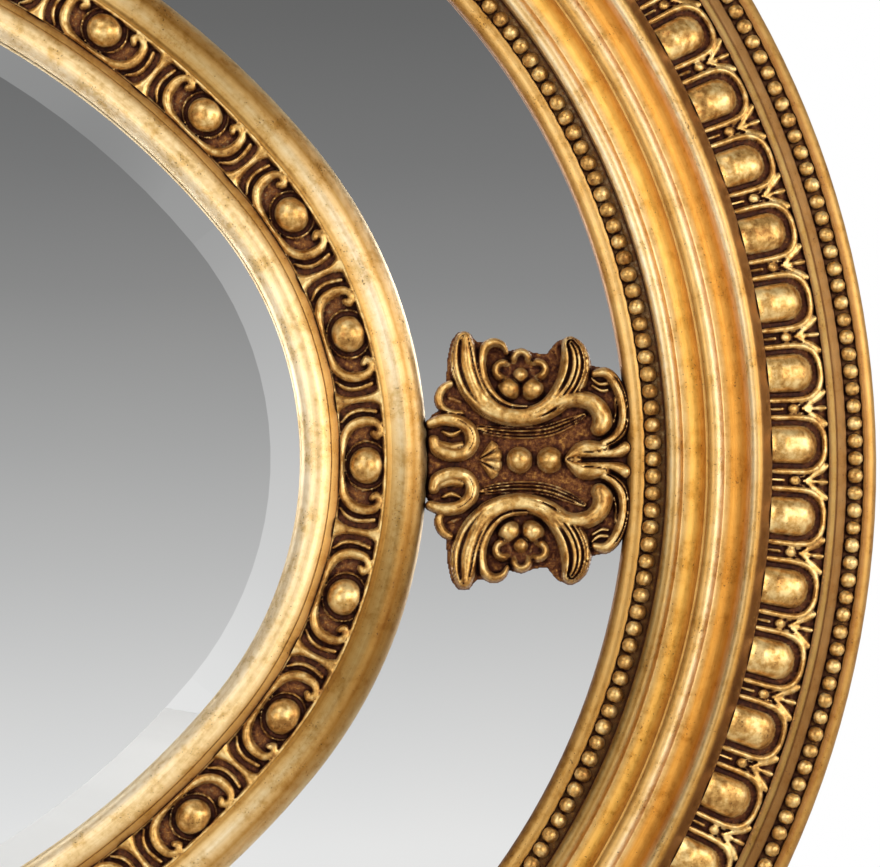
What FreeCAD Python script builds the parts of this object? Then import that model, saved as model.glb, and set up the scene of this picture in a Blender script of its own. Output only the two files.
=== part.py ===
# Oval gilt margin mirror: an outer moulded frame, an inner moulded frame, margin glass between them,
# a bevelled centre glass, four cartouches, and the boards, blocks, screws and hangers behind.
#
# Frame: +X along the long axis, +Z up, -Y towards the room, +Y towards the wall.
# The origin is the middle of the bounding box. Every oval is parallel to one base oval, the sight
# edge of the inner frame, drawn with eight tangent arcs. "Offset" is the distance outwards from the
# base oval, and "height" is the distance from the back of the outer frame towards the room.
import math
import os

import FreeCAD
import Part
import Sketcher
from FreeCAD import Placement, Rotation, Vector

SIZES = [
    # the base oval
    ("base_half_length", 400.0, "half the long axis of the base oval"),
    ("base_half_height", 235.0, "half the short axis of the base oval"),
    ("end_radius", 149.4, "radius of the arc at each end"),
    ("end_turn", 39.56, "degrees from the long axis to the first change of arc"),
    ("shoulder_turn", 68.87, "degrees from the long axis to the second change of arc"),
    # overall widths and levels
    ("inner_frame_width", 50.4, "width of the inner frame"),
    ("margin_width", 80.4, "margin glass that shows between the frames"),
    ("glass_level", 22.0, "height of the margin glass's face"),
    ("board_level", 10.0, "height of the back board's face"),
    ("board_thickness", 6.0, "thickness of the back board"),
    ("bumper_thickness", 9.0, "how far the bumpers stand off the frame's back"),
    # outer frame, from the sight edge outwards
    ("glass_rabbet", 10.0, "width of the rabbet over the margin glass"),
    ("board_rabbet", 10.0, "further width of the rabbet over the back board"),
    ("sight_wall", 4.0, "plain wall above the margin glass"),
    ("sight_roll_width", 6.8, "rounded sight member"),
    ("sight_roll_rise", 4.0, "how much the sight member climbs"),
    ("sight_roll_crown", 1.6, "crown of the sight member"),
    ("sight_bead_channel", 8.8, "width of the channel of the sight beads"),
    ("sight_bead_level", 27.4, "height of the channel of the sight beads"),
    ("first_ridge_width", 6.4, "rounded ridge outside the sight beads"),
    ("first_ridge_level", 34.2, "height of that ridge at its sides"),
    ("first_ridge_crown", 2.2, "crown of that ridge"),
    ("first_cove_width", 9.4, "cove outside the first ridge"),
    ("first_cove_depth", 3.0, "hollow of that cove"),
    ("second_ridge_width", 6.4, "rounded ridge between the coves"),
    ("second_ridge_level", 44.6, "height of that ridge at its sides"),
    ("second_ridge_crown", 1.8, "crown of that ridge"),
    ("second_cove_width", 9.6, "cove inside the top ridge"),
    ("second_cove_depth", 2.8, "hollow of that cove"),
    ("cove_step", 1.0, "small step where a cove meets the next ridge"),
    ("top_ridge_width", 5.4, "highest ridge"),
    ("top_ridge_level", 55.0, "height of the highest ridge at its sides"),
    ("top_ridge_crown", 2.0, "crown of the highest ridge"),
    ("back_slope_width", 3.6, "slope from the highest ridge to the egg course"),
    ("back_slope_drop", 7.0, "fall of that slope"),
    ("egg_band_width", 23.4, "width of the egg course"),
    ("egg_band_top", 45.4, "height of the egg course beside the slope"),
    ("egg_band_foot", 36.4, "height of the egg course at its outside"),
    ("fillet_width", 7.2, "flat fillet outside the egg course"),
    ("fillet_level", 38.2, "height of that fillet"),
    ("fillet_fall", 1.6, "how much that fillet falls outwards"),
    ("edge_bead_channel", 6.8, "width of the channel of the edge beads"),
    ("edge_bead_level", 33.0, "height of the channel of the edge beads"),
    ("edge_line_width", 1.6, "thin line outside the edge beads"),
    ("edge_line_level", 35.2, "height of that line"),
    ("edge_roll_width", 4.0, "rounded outside edge"),
    ("edge_roll_fall", 6.2, "fall of the rounded outside edge"),
    ("edge_roll_crown", 1.4, "crown of the rounded outside edge"),
    ("side_wall", 9.0, "upright side below the rounded edge"),
    ("side_undercut", 5.0, "how far the side draws in towards the wall"),
    ("side_foot", 12.0, "height of the drawn-in foot"),
    # inner frame, from its sight edge outwards
    ("centre_rabbet", 8.0, "width of the rabbet over the centre glass"),
    ("centre_level", 26.0, "height of the centre glass's face"),
    ("inner_sight_wall", 2.0, "plain wall above the centre glass"),
    ("torus_width", 12.2, "broad sight torus"),
    ("torus_rise", 4.6, "how much the torus climbs"),
    ("torus_crown", 3.6, "crown of the torus"),
    ("torus_step", 1.2, "drop from the torus to its fillet"),
    ("torus_fillet", 3.4, "fillet outside the torus"),
    ("torus_fillet_fall", 0.8, "how much that fillet falls"),
    ("ball_band_width", 18.6, "width of the ball course"),
    ("ball_band_level", 29.0, "height of the ball course"),
    ("band_edge_width", 1.0, "thin edge outside the ball course"),
    ("band_edge_level", 32.8, "height of that edge"),
    ("hollow_width", 1.2, "small hollow outside the thin edge"),
    ("hollow_fall", 0.8, "fall of that hollow"),
    ("inner_roll_crown", 4.2, "crown of the moulding that falls to the margin glass"),
    ("inner_side_wall", 3.0, "wall above the margin glass, inner frame"),
    # course ornament
    ("bead_diameter", 5.4, "diameter of both bead strings"),
    ("sight_bead_inset", 3.8, "from the sight roll to the middle of the sight beads"),
    ("egg_width", 12.0, "width of an egg along the oval"),
    ("egg_length", 18.8, "length of an egg across the course"),
    ("egg_inset", 1.2, "gap from the slope to an egg"),
    ("egg_pitch", 28.6, "spacing of the eggs"),
    ("egg_phase", 0.175, "first egg's place above the long axis, as a share of the spacing"),
    ("ball_diameter", 13.2, "diameter of a ball"),
    ("ball_lift", 1.0, "height of a ball's centre above its course"),
    ("ball_shift", 1.1, "how far a ball sits outside the middle of its course"),
    ("ball_pitch", 53.6, "spacing of the balls"),
    ("ball_phase", -0.047, "first ball's place above the long axis, as a share of the spacing"),
    # cartouches
    ("cartouche_length", 82.0, "length of a cartouche across the margin"),
    ("cartouche_height", 104.4, "height of a cartouche, horn to horn"),
    ("cartouche_base", 4.0, "thickness of its ground"),
    ("cartouche_relief_limit", 8.0, "highest relief over the ground"),
    ("horn_scroll_radius", 21.5, "radius of its two great scrolls"),
    ("side_scroll_radius", 7.6, "radius of its two scrolls beside the outer frame"),
    ("volute_radius", 6.8, "radius of its two volutes beside the inner frame"),
    ("scroll_wire", 7.4, "thickness of the great scrolls"),
    ("flower_place", 37.3, "from the inner frame to the middle of its flowers"),
    ("flower_rise", 34.5, "from the axis to the middle of its flowers"),
    ("flower_diameter", 22.0, "diameter of its flowers"),
    ("flower_top_diameter", 17.6, "diameter of its flowers at the top of the petals"),
    ("flower_relief", 3.0, "relief of the petals"),
    ("flower_boss_diameter", 6.2, "diameter of the boss in the middle of a flower"),
    ("middle_ball_diameter", 11.4, "diameter of its two middle balls"),
    ("middle_ball_lift", 1.7, "height of the middle of those balls above the ground"),
    ("first_ball_place", 36.9, "from the inner frame to the first of those balls"),
    ("second_ball_place", 49.2, "from the inner frame to the second of those balls"),
    ("leaf_place", 57.4, "from the inner frame to the start of its leaf"),
    ("leaf_length", 22.1, "length of its leaf"),
    ("leaf_tip_diameter", 1.6, "diameter of the leaf at its start"),
    ("leaf_end_diameter", 13.6, "diameter of the leaf at its end"),
    # glass and packing
    ("centre_glass_thickness", 5.0, "thickness of the centre glass"),
    ("bevel_width", 20.0, "width of the bevel from the edge of the glass"),
    ("bevel_edge", 2.6, "thickness of the centre glass at its edge"),
    ("margin_glass_thickness", 4.0, "thickness of the margin glass"),
    ("glass_joint", 0.4, "gap between plates of margin glass"),
    ("backing_thickness", 2.0, "sheet behind the centre glass"),
    ("block_length", 30.0, "length of a packing block"),
    ("block_width", 6.6, "width of a packing block"),
    ("block_gap", 0.4, "gap from the outer blocks to the wall of the rabbet"),
    ("centre_block_gap", 1.0, "gap from the blocks of the centre glass to their wall"),
    # fits
    ("edge_clearance", 0.4, "clearance of glass and boards in their rabbets"),
    ("seat_clearance", 0.1, "clearance under ornament that sits on a curved face"),
    ("hole_clearance", 0.05, "radial clearance of screws and dowels in their holes"),
    ("plank_gap", 0.3, "gap between the planks of the back board"),
    # fasteners
    ("dowel_diameter", 8.0, "diameter of a dowel"),
    ("dowel_length", 44.0, "length of a dowel"),
    ("dowel_level", 20.0, "height of the dowels"),
    ("outer_dowel_first", 164.0, "offset of the inner dowel of the outer frame"),
    ("outer_dowel_second", 204.0, "offset of the outer dowel of the outer frame"),
    ("inner_dowel", 25.0, "offset of the dowels of the inner frame"),
    ("screw_diameter", 4.0, "diameter of a screw's shank"),
    ("screw_head", 7.6, "diameter of a countersunk head"),
    ("board_screw_length", 18.0, "length of a back board screw"),
    ("hanger_screw_length", 20.0, "length of a hanger screw"),
    ("inner_screw_offset", 25.0, "offset of the screws that hold the inner frame"),
    # hangers
    ("hanger_turn", 60.5, "direction of the hangers from the shoulder's centre"),
    ("hanger_offset", 198.0, "offset of the hinge line of the hangers"),
    ("strap_width", 16.0, "width of a hanger strap"),
    ("strap_length", 44.0, "length of a strap below its knuckle"),
    ("strap_thickness", 1.6, "thickness of a strap"),
    ("strap_screw_first", 25.0, "from the hinge line to the first screw of a strap"),
    ("strap_screw_second", 37.0, "from the hinge line to the second screw of a strap"),
    ("ring_wire", 3.6, "diameter of the wire of a D-ring"),
    ("ring_half_width", 12.5, "half the width of a D-ring, to the middle of its wire"),
    ("ring_corner", 3.0, "radius of a D-ring's corners, to the middle of its wire"),
    ("ring_arm", 3.0, "straight arm of a D-ring"),
    ("knuckle_clearance", 0.1, "radial clearance of the ring in the strap's knuckle"),
    ("ring_standoff", 0.8, "clearance between the hanging ring and the strap"),
    # bumpers
    ("bumper_diameter", 24.0, "diameter of a bumper"),
    ("bumper_turn", 46.0, "direction of the bumpers from the shoulder's centre"),
    ("bumper_offset", 190.0, "offset of the bumpers"),
]

# What follows from the sizes. Each entry is a name and an expression.
DERIVED = [
    ("end_sin", "sin(Sizes.end_turn)"),
    ("end_cos", "cos(Sizes.end_turn)"),
    ("shoulder_sin", "sin(Sizes.shoulder_turn)"),
    ("shoulder_cos", "cos(Sizes.shoulder_turn)"),
    ("rest_length", "Sizes.base_half_length - Sizes.end_radius * (1 - Derived.end_cos)"),
    ("rest_height", "Sizes.base_half_height - Sizes.end_radius * Derived.end_sin"),
    ("arc_determinant", "(Derived.shoulder_sin - Derived.end_sin) * Derived.shoulder_cos"
     " - (1 - Derived.shoulder_sin) * (Derived.end_cos - Derived.shoulder_cos)"),
    ("shoulder_radius", "(Derived.rest_height * Derived.shoulder_cos"
     " - Derived.rest_length * (1 - Derived.shoulder_sin)) / Derived.arc_determinant"),
    ("crown_radius", "((Derived.shoulder_sin - Derived.end_sin) * Derived.rest_length"
     " - (Derived.end_cos - Derived.shoulder_cos) * Derived.rest_height) / Derived.arc_determinant"),
    ("end_centre", "Sizes.base_half_length - Sizes.end_radius"),
    ("shoulder_centre_x", "Derived.end_centre"
     " - (Derived.shoulder_radius - Sizes.end_radius) * Derived.end_cos"),
    ("shoulder_centre_z", "-(Derived.shoulder_radius - Sizes.end_radius) * Derived.end_sin"),
    ("crown_centre", "Sizes.base_half_height - Derived.crown_radius"),
    ("sight_offset", "Sizes.inner_frame_width + Sizes.margin_width"),
    ("glass_wall", "Derived.sight_offset + Sizes.glass_rabbet"),
    ("board_wall", "Derived.glass_wall + Sizes.board_rabbet"),
    ("sight_bead_start", "Derived.sight_offset + Sizes.sight_roll_width"),
    ("first_ridge_start", "Derived.sight_bead_start + Sizes.sight_bead_channel"),
    ("first_cove_start", "Derived.first_ridge_start + Sizes.first_ridge_width"),
    ("second_ridge_start", "Derived.first_cove_start + Sizes.first_cove_width"),
    ("second_cove_start", "Derived.second_ridge_start + Sizes.second_ridge_width"),
    ("top_ridge_start", "Derived.second_cove_start + Sizes.second_cove_width"),
    ("back_slope_start", "Derived.top_ridge_start + Sizes.top_ridge_width"),
    ("egg_band_start", "Derived.back_slope_start + Sizes.back_slope_width"),
    ("fillet_start", "Derived.egg_band_start + Sizes.egg_band_width"),
    ("edge_bead_start", "Derived.fillet_start + Sizes.fillet_width"),
    ("edge_line_start", "Derived.edge_bead_start + Sizes.edge_bead_channel"),
    ("edge_roll_start", "Derived.edge_line_start + Sizes.edge_line_width"),
    ("outside_offset", "Derived.edge_roll_start + Sizes.edge_roll_width"),
    ("edge_roll_foot", "Sizes.edge_line_level - Sizes.edge_roll_fall"),
    ("sight_top", "Sizes.glass_level + Sizes.sight_wall"),
    ("ball_band_start", "Sizes.torus_width + Sizes.torus_fillet"),
    ("ball_band_end", "Derived.ball_band_start + Sizes.ball_band_width"),
    ("torus_foot", "Sizes.centre_level + Sizes.inner_sight_wall"),
    ("torus_top", "Derived.torus_foot + Sizes.torus_rise"),
    ("inner_glass_wall", "Sizes.inner_frame_width - Sizes.centre_rabbet"),
    ("front_height", "Sizes.top_ridge_level + Sizes.top_ridge_crown"),
    ("back_plane", "(Derived.front_height + Sizes.bumper_thickness) / 2 - Sizes.bumper_thickness"),
    ("knuckle_bore", "Sizes.ring_wire / 2 + Sizes.knuckle_clearance"),
    ("knuckle_radius", "Derived.knuckle_bore + Sizes.strap_thickness"),
    ("ring_height", "Sizes.strap_thickness + Sizes.ring_standoff + Sizes.ring_wire / 2"),
    ("hanger_x", "Derived.shoulder_centre_x"
     " + (Derived.shoulder_radius + Sizes.hanger_offset) * cos(Sizes.hanger_turn)"),
    ("hanger_z", "Derived.shoulder_centre_z"
     " + (Derived.shoulder_radius + Sizes.hanger_offset) * sin(Sizes.hanger_turn)"),
    ("bumper_x", "Derived.shoulder_centre_x"
     " + (Derived.shoulder_radius + Sizes.bumper_offset) * cos(Sizes.bumper_turn)"),
    ("bumper_z", "Derived.shoulder_centre_z"
     " + (Derived.shoulder_radius + Sizes.bumper_offset) * sin(Sizes.bumper_turn)"),
    ("board_screw_offset", "Derived.board_wall - Sizes.board_rabbet / 2"),
]

# The arcs of the upper right quarter: centre, radius and turn as expressions. The other arcs are
# mirror images of these.
ARCS = {
    "right": ("Derived.end_centre", "0", "Sizes.end_radius",
              "-Sizes.end_turn", "2 * Sizes.end_turn"),
    "upper_right": ("Derived.shoulder_centre_x", "Derived.shoulder_centre_z",
                    "Derived.shoulder_radius", "Sizes.end_turn",
                    "Sizes.shoulder_turn - Sizes.end_turn"),
    "lower_right": ("Derived.shoulder_centre_x", "-Derived.shoulder_centre_z",
                    "Derived.shoulder_radius", "-Sizes.shoulder_turn",
                    "Sizes.shoulder_turn - Sizes.end_turn"),
    "top": ("0", "Derived.crown_centre", "Derived.crown_radius",
            "Sizes.shoulder_turn", "180 - 2 * Sizes.shoulder_turn"),
}

# Screws along each arc: back board screws and inner frame screws.
BOARD_SCREWS = {"right": 3, "upper_right": 2, "lower_right": 2, "top": 3}
INNER_SCREWS = {"right": 2, "upper_right": 1, "lower_right": 1, "top": 2}

doc = FreeCAD.newDocument("margin_mirror")


# ---------------------------------------------------------------- sheet and derived values

def make_sheet():
    sheet = doc.addObject("Spreadsheet::Sheet", "Sizes")
    for row, (alias, value, note) in enumerate(SIZES, start=1):
        sheet.set(f"A{row}", note)
        sheet.set(f"B{row}", str(value))
        sheet.setAlias(f"B{row}", alias)
    doc.recompute()
    derived = doc.addObject("App::VarSet", "Derived")
    for name, expression in DERIVED:
        derived.addProperty("App::PropertyFloat", name, "Derived")
        derived.setExpression(name, expression)
    doc.recompute()
    return sheet, derived


sizes, derived = make_sheet()


def value(expression):
    """The number that an expression over the sheet gives."""
    result = derived.evalExpression(expression)
    return float(getattr(result, "Value", result))


def size(name):
    return float(getattr(sizes, name))


def follows(name):
    return float(getattr(derived, name))


def level(height):
    """The Y of a height above the outer frame's back."""
    return follows("back_plane") - height


# ---------------------------------------------------------------- the base oval

def arc_table():
    """All eight arcs as (centre x, centre z, radius, start, sweep), anticlockwise from the right."""
    end = (follows("end_centre"), 0.0, size("end_radius"))
    shoulder = (follows("shoulder_centre_x"), follows("shoulder_centre_z"), follows("shoulder_radius"))
    crown = (0.0, follows("crown_centre"), follows("crown_radius"))
    first = size("end_turn")
    second = size("shoulder_turn")
    return [
        (end[0], 0.0, end[2], -first, 2 * first),
        (shoulder[0], shoulder[1], shoulder[2], first, second - first),
        (0.0, crown[1], crown[2], second, 180 - 2 * second),
        (-shoulder[0], shoulder[1], shoulder[2], 180 - second, second - first),
        (-end[0], 0.0, end[2], 180 - first, 2 * first),
        (-shoulder[0], -shoulder[1], shoulder[2], 180 + first, second - first),
        (0.0, -crown[1], crown[2], 180 + second, 180 - 2 * second),
        (shoulder[0], -shoulder[1], shoulder[2], 360 - second, second - first),
    ]


def on_arc(arc, offset, turn, height):
    centre_x, centre_z, radius = arc[:3]
    angle = math.radians(turn)
    reach = radius + offset
    return Vector(centre_x + reach * math.cos(angle), level(height), centre_z + reach * math.sin(angle))


def oval_wire(offset, height):
    edges = []
    for arc in arc_table():
        start, sweep = arc[3:]
        ends = [on_arc(arc, offset, start + share * sweep, height) for share in (0, 0.5, 1)]
        edges.append(Part.Arc(*ends).toShape())
    return Part.Wire(edges)


def oval_plate(offset, height, thickness):
    """A flat plate inside one oval, from a height back towards the wall."""
    face = Part.Face(oval_wire(offset, height))
    return face.extrude(Vector(0, thickness, 0))


def stations(offset, pitch, phase):
    """Evenly spaced places along an oval: (arc, turn) pairs, starting at the right-hand end."""
    arcs = arc_table()
    lengths = [math.radians(arc[4]) * (arc[2] + offset) for arc in arcs]
    total = sum(lengths)
    count = round(total / pitch)
    places = []
    for step in range(count):
        along = (step + phase) * total / count + lengths[0] / 2
        along %= total
        for arc, length in zip(arcs, lengths):
            if along < length:
                places.append((arc, arc[3] + arc[4] * along / length))
                break
            along -= length
    return places


def seated(shape, arc, offset, turn, height, tilt=0.0):
    """A copy of a shape moved from its own frame (X outwards, Y to the wall, Z along) to the oval."""
    spin = Rotation(Vector(0, -1, 0), turn)
    lean = Rotation(Vector(0, 0, 1), tilt)
    copy = shape.copy()
    copy.Placement = Placement(on_arc(arc, offset, turn, height), spin.multiply(lean))
    return copy


# ---------------------------------------------------------------- sketch helpers

def origin_plane(body, role):
    for feature in body.Origin.OriginFeatures:
        if feature.Role == role:
            return feature
    raise ValueError(role)


def set_off(distance):
    """Attachment that lifts a sketch off its plane by a distance."""
    return f"placement(vector(0; 0; {distance}); rotation(vector(0; 0; 1); 0))"


def turned(start):
    """Attachment that turns a body's XY plane to stand across the oval at an angle."""
    return f"placement(vector(0; 0; 0); rotation(vector(0; -1; 0); {start}))"


def new_sketch(body, name, role, offset=set_off("0")):
    sketch = body.newObject("Sketcher::SketchObject", name)
    sketch.AttachmentSupport = (origin_plane(body, role), [""])
    sketch.MapMode = "FlatFace"
    sketch.setExpression("AttachmentOffset", offset)
    return sketch


def pin(sketch, kind, references, expression):
    """Add a driving constraint whose value is an expression."""
    index = sketch.addConstraint(Sketcher.Constraint(kind, *references, value(expression)))
    sketch.setExpression(f"Constraints[{index}]", expression)


def draw_outline(sketch, points):
    """Close an outline through points (x, y, crown): crown is the rise of the edge that follows.

    A positive crown bulges to the right of the direction of travel, and None is a straight edge. A
    half circle gives its rise with the direction and the place that fix its centre."""
    half_circles = {index: point[2][1:] for index, point in enumerate(points)
                    if isinstance(point[2], tuple)}
    points = [(x, y, crown[0] if isinstance(crown, tuple) else crown) for x, y, crown in points]
    places = [Vector(value(x), value(y), 0) for x, y, crown in points]
    geometry = []
    for index, (x, y, crown) in enumerate(points):
        start = places[index]
        end = places[(index + 1) % len(points)]
        if crown is None:
            geometry.append(Part.LineSegment(start, end))
        else:
            across = (end - start).cross(Vector(0, 0, 1)).normalize()
            middle = (start + end) * 0.5 + across * value(crown)
            geometry.append(Part.Arc(start, middle, end))
    first = sketch.GeometryCount
    sketch.addGeometry(geometry, False)
    starts = []
    ends = []
    for index in range(len(points)):
        at_start = (sketch.getPoint(first + index, 1) - places[index]).Length
        at_end = (sketch.getPoint(first + index, 2) - places[index]).Length
        starts.append(1 if at_start < at_end else 2)
        ends.append(3 - starts[-1])
    links = []
    for index in range(len(points)):
        following = (index + 1) % len(points)
        links.append(Sketcher.Constraint("Coincident", first + index, ends[index],
                                         first + following, starts[following]))
    sketch.addConstraint(links)
    for index, (x, y, crown) in enumerate(points):
        pin(sketch, "DistanceX", (-1, 1, first + index, starts[index]), x)
        pin(sketch, "DistanceY", (-1, 1, first + index, starts[index]), y)
        if index in half_circles:
            kind, place = half_circles[index]
            pin(sketch, kind, (-1, 1, first + index, 3), place)
        elif crown is not None:
            next_x, next_y, _ = points[(index + 1) % len(points)]
            rise = crown.lstrip("-")
            run = f"((({next_x}) - ({x}))^2 + (({next_y}) - ({y}))^2)"
            pin(sketch, "Radius", (first + index,), f"({run} / 4 + ({rise})^2) / (2 * ({rise}))")


def draw_circle(sketch, x, y, radius):
    centre = Vector(value(x), value(y), 0)
    index = sketch.addGeometry(Part.Circle(centre, Vector(0, 0, 1), value(radius)), False)
    pin(sketch, "DistanceX", (-1, 1, index, 3), x)
    pin(sketch, "DistanceY", (-1, 1, index, 3), y)
    pin(sketch, "Radius", (index,), radius)


def pocket(body, sketch, depth, reversed_way):
    before = body.Shape.Volume
    feature = body.newObject("PartDesign::Pocket", f"{sketch.Name}_cut")
    feature.Profile = sketch
    feature.Type = 0
    feature.setExpression("Length", depth)
    feature.Reversed = reversed_way
    doc.recompute()
    if body.Shape.Volume >= before - 1.0:
        raise RuntimeError(f"{sketch.Name} cuts nothing")
    return feature


# ---------------------------------------------------------------- mouldings

def outer_profile():
    """Section of the outer frame as (offset, height, crown), round from the foot of the rabbet."""
    return [
        ("Derived.board_wall", "0", None),
        ("Derived.board_wall", "Sizes.board_level", None),
        ("Derived.glass_wall", "Sizes.board_level", None),
        ("Derived.glass_wall", "Sizes.glass_level", None),
        ("Derived.sight_offset", "Sizes.glass_level", None),
        ("Derived.sight_offset", "Derived.sight_top", "Sizes.sight_roll_crown"),
        ("Derived.sight_bead_start", "Derived.sight_top + Sizes.sight_roll_rise", None),
        ("Derived.sight_bead_start", "Sizes.sight_bead_level", None),
        ("Derived.first_ridge_start", "Sizes.sight_bead_level", None),
        ("Derived.first_ridge_start", "Sizes.first_ridge_level", "Sizes.first_ridge_crown"),
        ("Derived.first_cove_start", "Sizes.first_ridge_level", "-Sizes.first_cove_depth"),
        ("Derived.second_ridge_start - Sizes.cove_step",
         "Sizes.second_ridge_level - Sizes.cove_step", None),
        ("Derived.second_ridge_start", "Sizes.second_ridge_level - Sizes.cove_step", None),
        ("Derived.second_ridge_start", "Sizes.second_ridge_level", "Sizes.second_ridge_crown"),
        ("Derived.second_cove_start", "Sizes.second_ridge_level", "-Sizes.second_cove_depth"),
        ("Derived.top_ridge_start", "Sizes.top_ridge_level - Sizes.cove_step", None),
        ("Derived.top_ridge_start", "Sizes.top_ridge_level", "Sizes.top_ridge_crown"),
        ("Derived.back_slope_start", "Sizes.top_ridge_level", None),
        ("Derived.egg_band_start", "Sizes.top_ridge_level - Sizes.back_slope_drop", None),
        ("Derived.egg_band_start", "Sizes.egg_band_top", None),
        ("Derived.fillet_start", "Sizes.egg_band_foot", None),
        ("Derived.fillet_start", "Sizes.fillet_level", None),
        ("Derived.edge_bead_start", "Sizes.fillet_level - Sizes.fillet_fall", None),
        ("Derived.edge_bead_start", "Sizes.edge_bead_level", None),
        ("Derived.edge_line_start", "Sizes.edge_bead_level", None),
        ("Derived.edge_line_start", "Sizes.edge_line_level", None),
        ("Derived.edge_roll_start", "Sizes.edge_line_level", "Sizes.edge_roll_crown"),
        ("Derived.outside_offset", "Derived.edge_roll_foot", None),
        ("Derived.outside_offset", "Derived.edge_roll_foot - Sizes.side_wall", None),
        ("Derived.outside_offset - Sizes.side_undercut", "Sizes.side_foot", None),
        ("Derived.outside_offset - Sizes.side_undercut", "0", None),
    ]


def inner_profile():
    """Section of the inner frame as (offset, height, crown), round from the back board."""
    return [
        ("Sizes.centre_rabbet", "Sizes.board_level", None),
        ("Sizes.centre_rabbet", "Sizes.centre_level", None),
        ("0", "Sizes.centre_level", None),
        ("0", "Derived.torus_foot", "Sizes.torus_crown"),
        ("Sizes.torus_width", "Derived.torus_top", None),
        ("Sizes.torus_width", "Derived.torus_top - Sizes.torus_step", None),
        ("Derived.ball_band_start",
         "Derived.torus_top - Sizes.torus_step - Sizes.torus_fillet_fall", None),
        ("Derived.ball_band_start", "Sizes.ball_band_level", None),
        ("Derived.ball_band_end", "Sizes.ball_band_level", None),
        ("Derived.ball_band_end", "Sizes.band_edge_level", None),
        ("Derived.ball_band_end + Sizes.band_edge_width", "Sizes.band_edge_level", None),
        ("Derived.ball_band_end + Sizes.band_edge_width + Sizes.hollow_width",
         "Sizes.band_edge_level - Sizes.hollow_fall", "Sizes.inner_roll_crown"),
        ("Sizes.inner_frame_width", "Sizes.glass_level + Sizes.inner_side_wall", None),
        ("Sizes.inner_frame_width", "Sizes.glass_level", None),
        ("Derived.inner_glass_wall", "Sizes.glass_level", None),
        ("Derived.inner_glass_wall", "Sizes.board_level", None),
    ]


def frame_segment(ring, side, profile, dowels, drillings):
    """One curved wooden length: a moulding turned about the centre of its arc, then drilled."""
    centre_x, centre_z, radius, start, sweep = ARCS[side]
    label = f"{ring}_frame_{side}"
    body = doc.addObject("PartDesign::Body", label)
    body.Label = label
    section = new_sketch(body, f"{label}_section", "XY_Plane", turned(start))
    draw_outline(section, [(f"{radius} + {offset}", f"Derived.back_plane - ({height})", crown)
                           for offset, height, crown in profile])
    turning = body.newObject("PartDesign::Revolution", f"{label}_turning")
    turning.Profile = section
    turning.ReferenceAxis = (section, ["V_Axis"])
    turning.setExpression("Angle", sweep)
    turning.Reversed = True
    doc.recompute()
    for end, angle, reversed_way in (("start", start, True), ("end", f"{start} + {sweep}", False)):
        holes = new_sketch(body, f"{label}_dowels_{end}", "XY_Plane", turned(angle))
        for offset in dowels:
            draw_circle(holes, f"{radius} + {offset}", "Derived.back_plane - Sizes.dowel_level",
                        "Sizes.dowel_diameter / 2 + Sizes.hole_clearance")
        pocket(body, holes, "Sizes.dowel_length / 2 + Sizes.hole_clearance", reversed_way)
    for number, (places, height, depth) in enumerate(drillings):
        holes = new_sketch(body, f"{label}_screws_{number}", "XZ_Plane",
                           set_off(f"{height} - Derived.back_plane"))
        for hole_x, hole_z in places:
            draw_circle(holes, hole_x, hole_z, SCREW_BORE)
        pocket(body, holes, depth, True)
    body.setExpression("Placement.Base.x", centre_x)
    body.setExpression("Placement.Base.z", centre_z)
    return body


def along_arc(side, offset, count):
    """Evenly spread places on an arc, from its own centre, as expressions."""
    _, _, radius, start, sweep = ARCS[side]
    places = []
    for step in range(count):
        turn = f"({start} + ({sweep}) * {step + 0.5} / {count})"
        reach = f"({radius} + {offset})"
        places.append((f"{reach} * cos{turn}", f"{reach} * sin{turn}"))
    return places


SCREW_BORE = "Sizes.screw_diameter / 2 + Sizes.hole_clearance"


def board_drilling(side, offset, counts):
    """Holes for the screws that come through the back board."""
    places = along_arc(side, offset, counts[side])
    depth = "Sizes.board_screw_length - Sizes.board_thickness + Sizes.hole_clearance"
    return places, "Sizes.board_level", depth


def bumper_drilling(side):
    z_sign = "-" if side == "lower_right" else ""
    reach = "(Derived.shoulder_radius + Sizes.bumper_offset)"
    places = [(f"{reach} * cos(Sizes.bumper_turn)", f"{z_sign}{reach} * sin(Sizes.bumper_turn)")]
    depth = "Sizes.hanger_screw_length - Sizes.bumper_thickness / 2 + Sizes.hole_clearance"
    return places, "0", depth


def hanger_drilling():
    places = []
    for drop in ("Sizes.strap_screw_first", "Sizes.strap_screw_second"):
        places.append(("Derived.hanger_x - Derived.shoulder_centre_x",
                       f"Derived.hanger_z - {drop} - Derived.shoulder_centre_z"))
    depth = "Sizes.hanger_screw_length - Sizes.strap_thickness + Sizes.hole_clearance"
    return places, "0", depth


def mirrored(source, label, normal):
    feature = doc.addObject("Part::Mirroring", label)
    feature.Label = label
    feature.Source = source
    feature.Normal = normal
    return feature


SIDEWAYS = Vector(1, 0, 0)
UPRIGHT = Vector(0, 0, 1)


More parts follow.
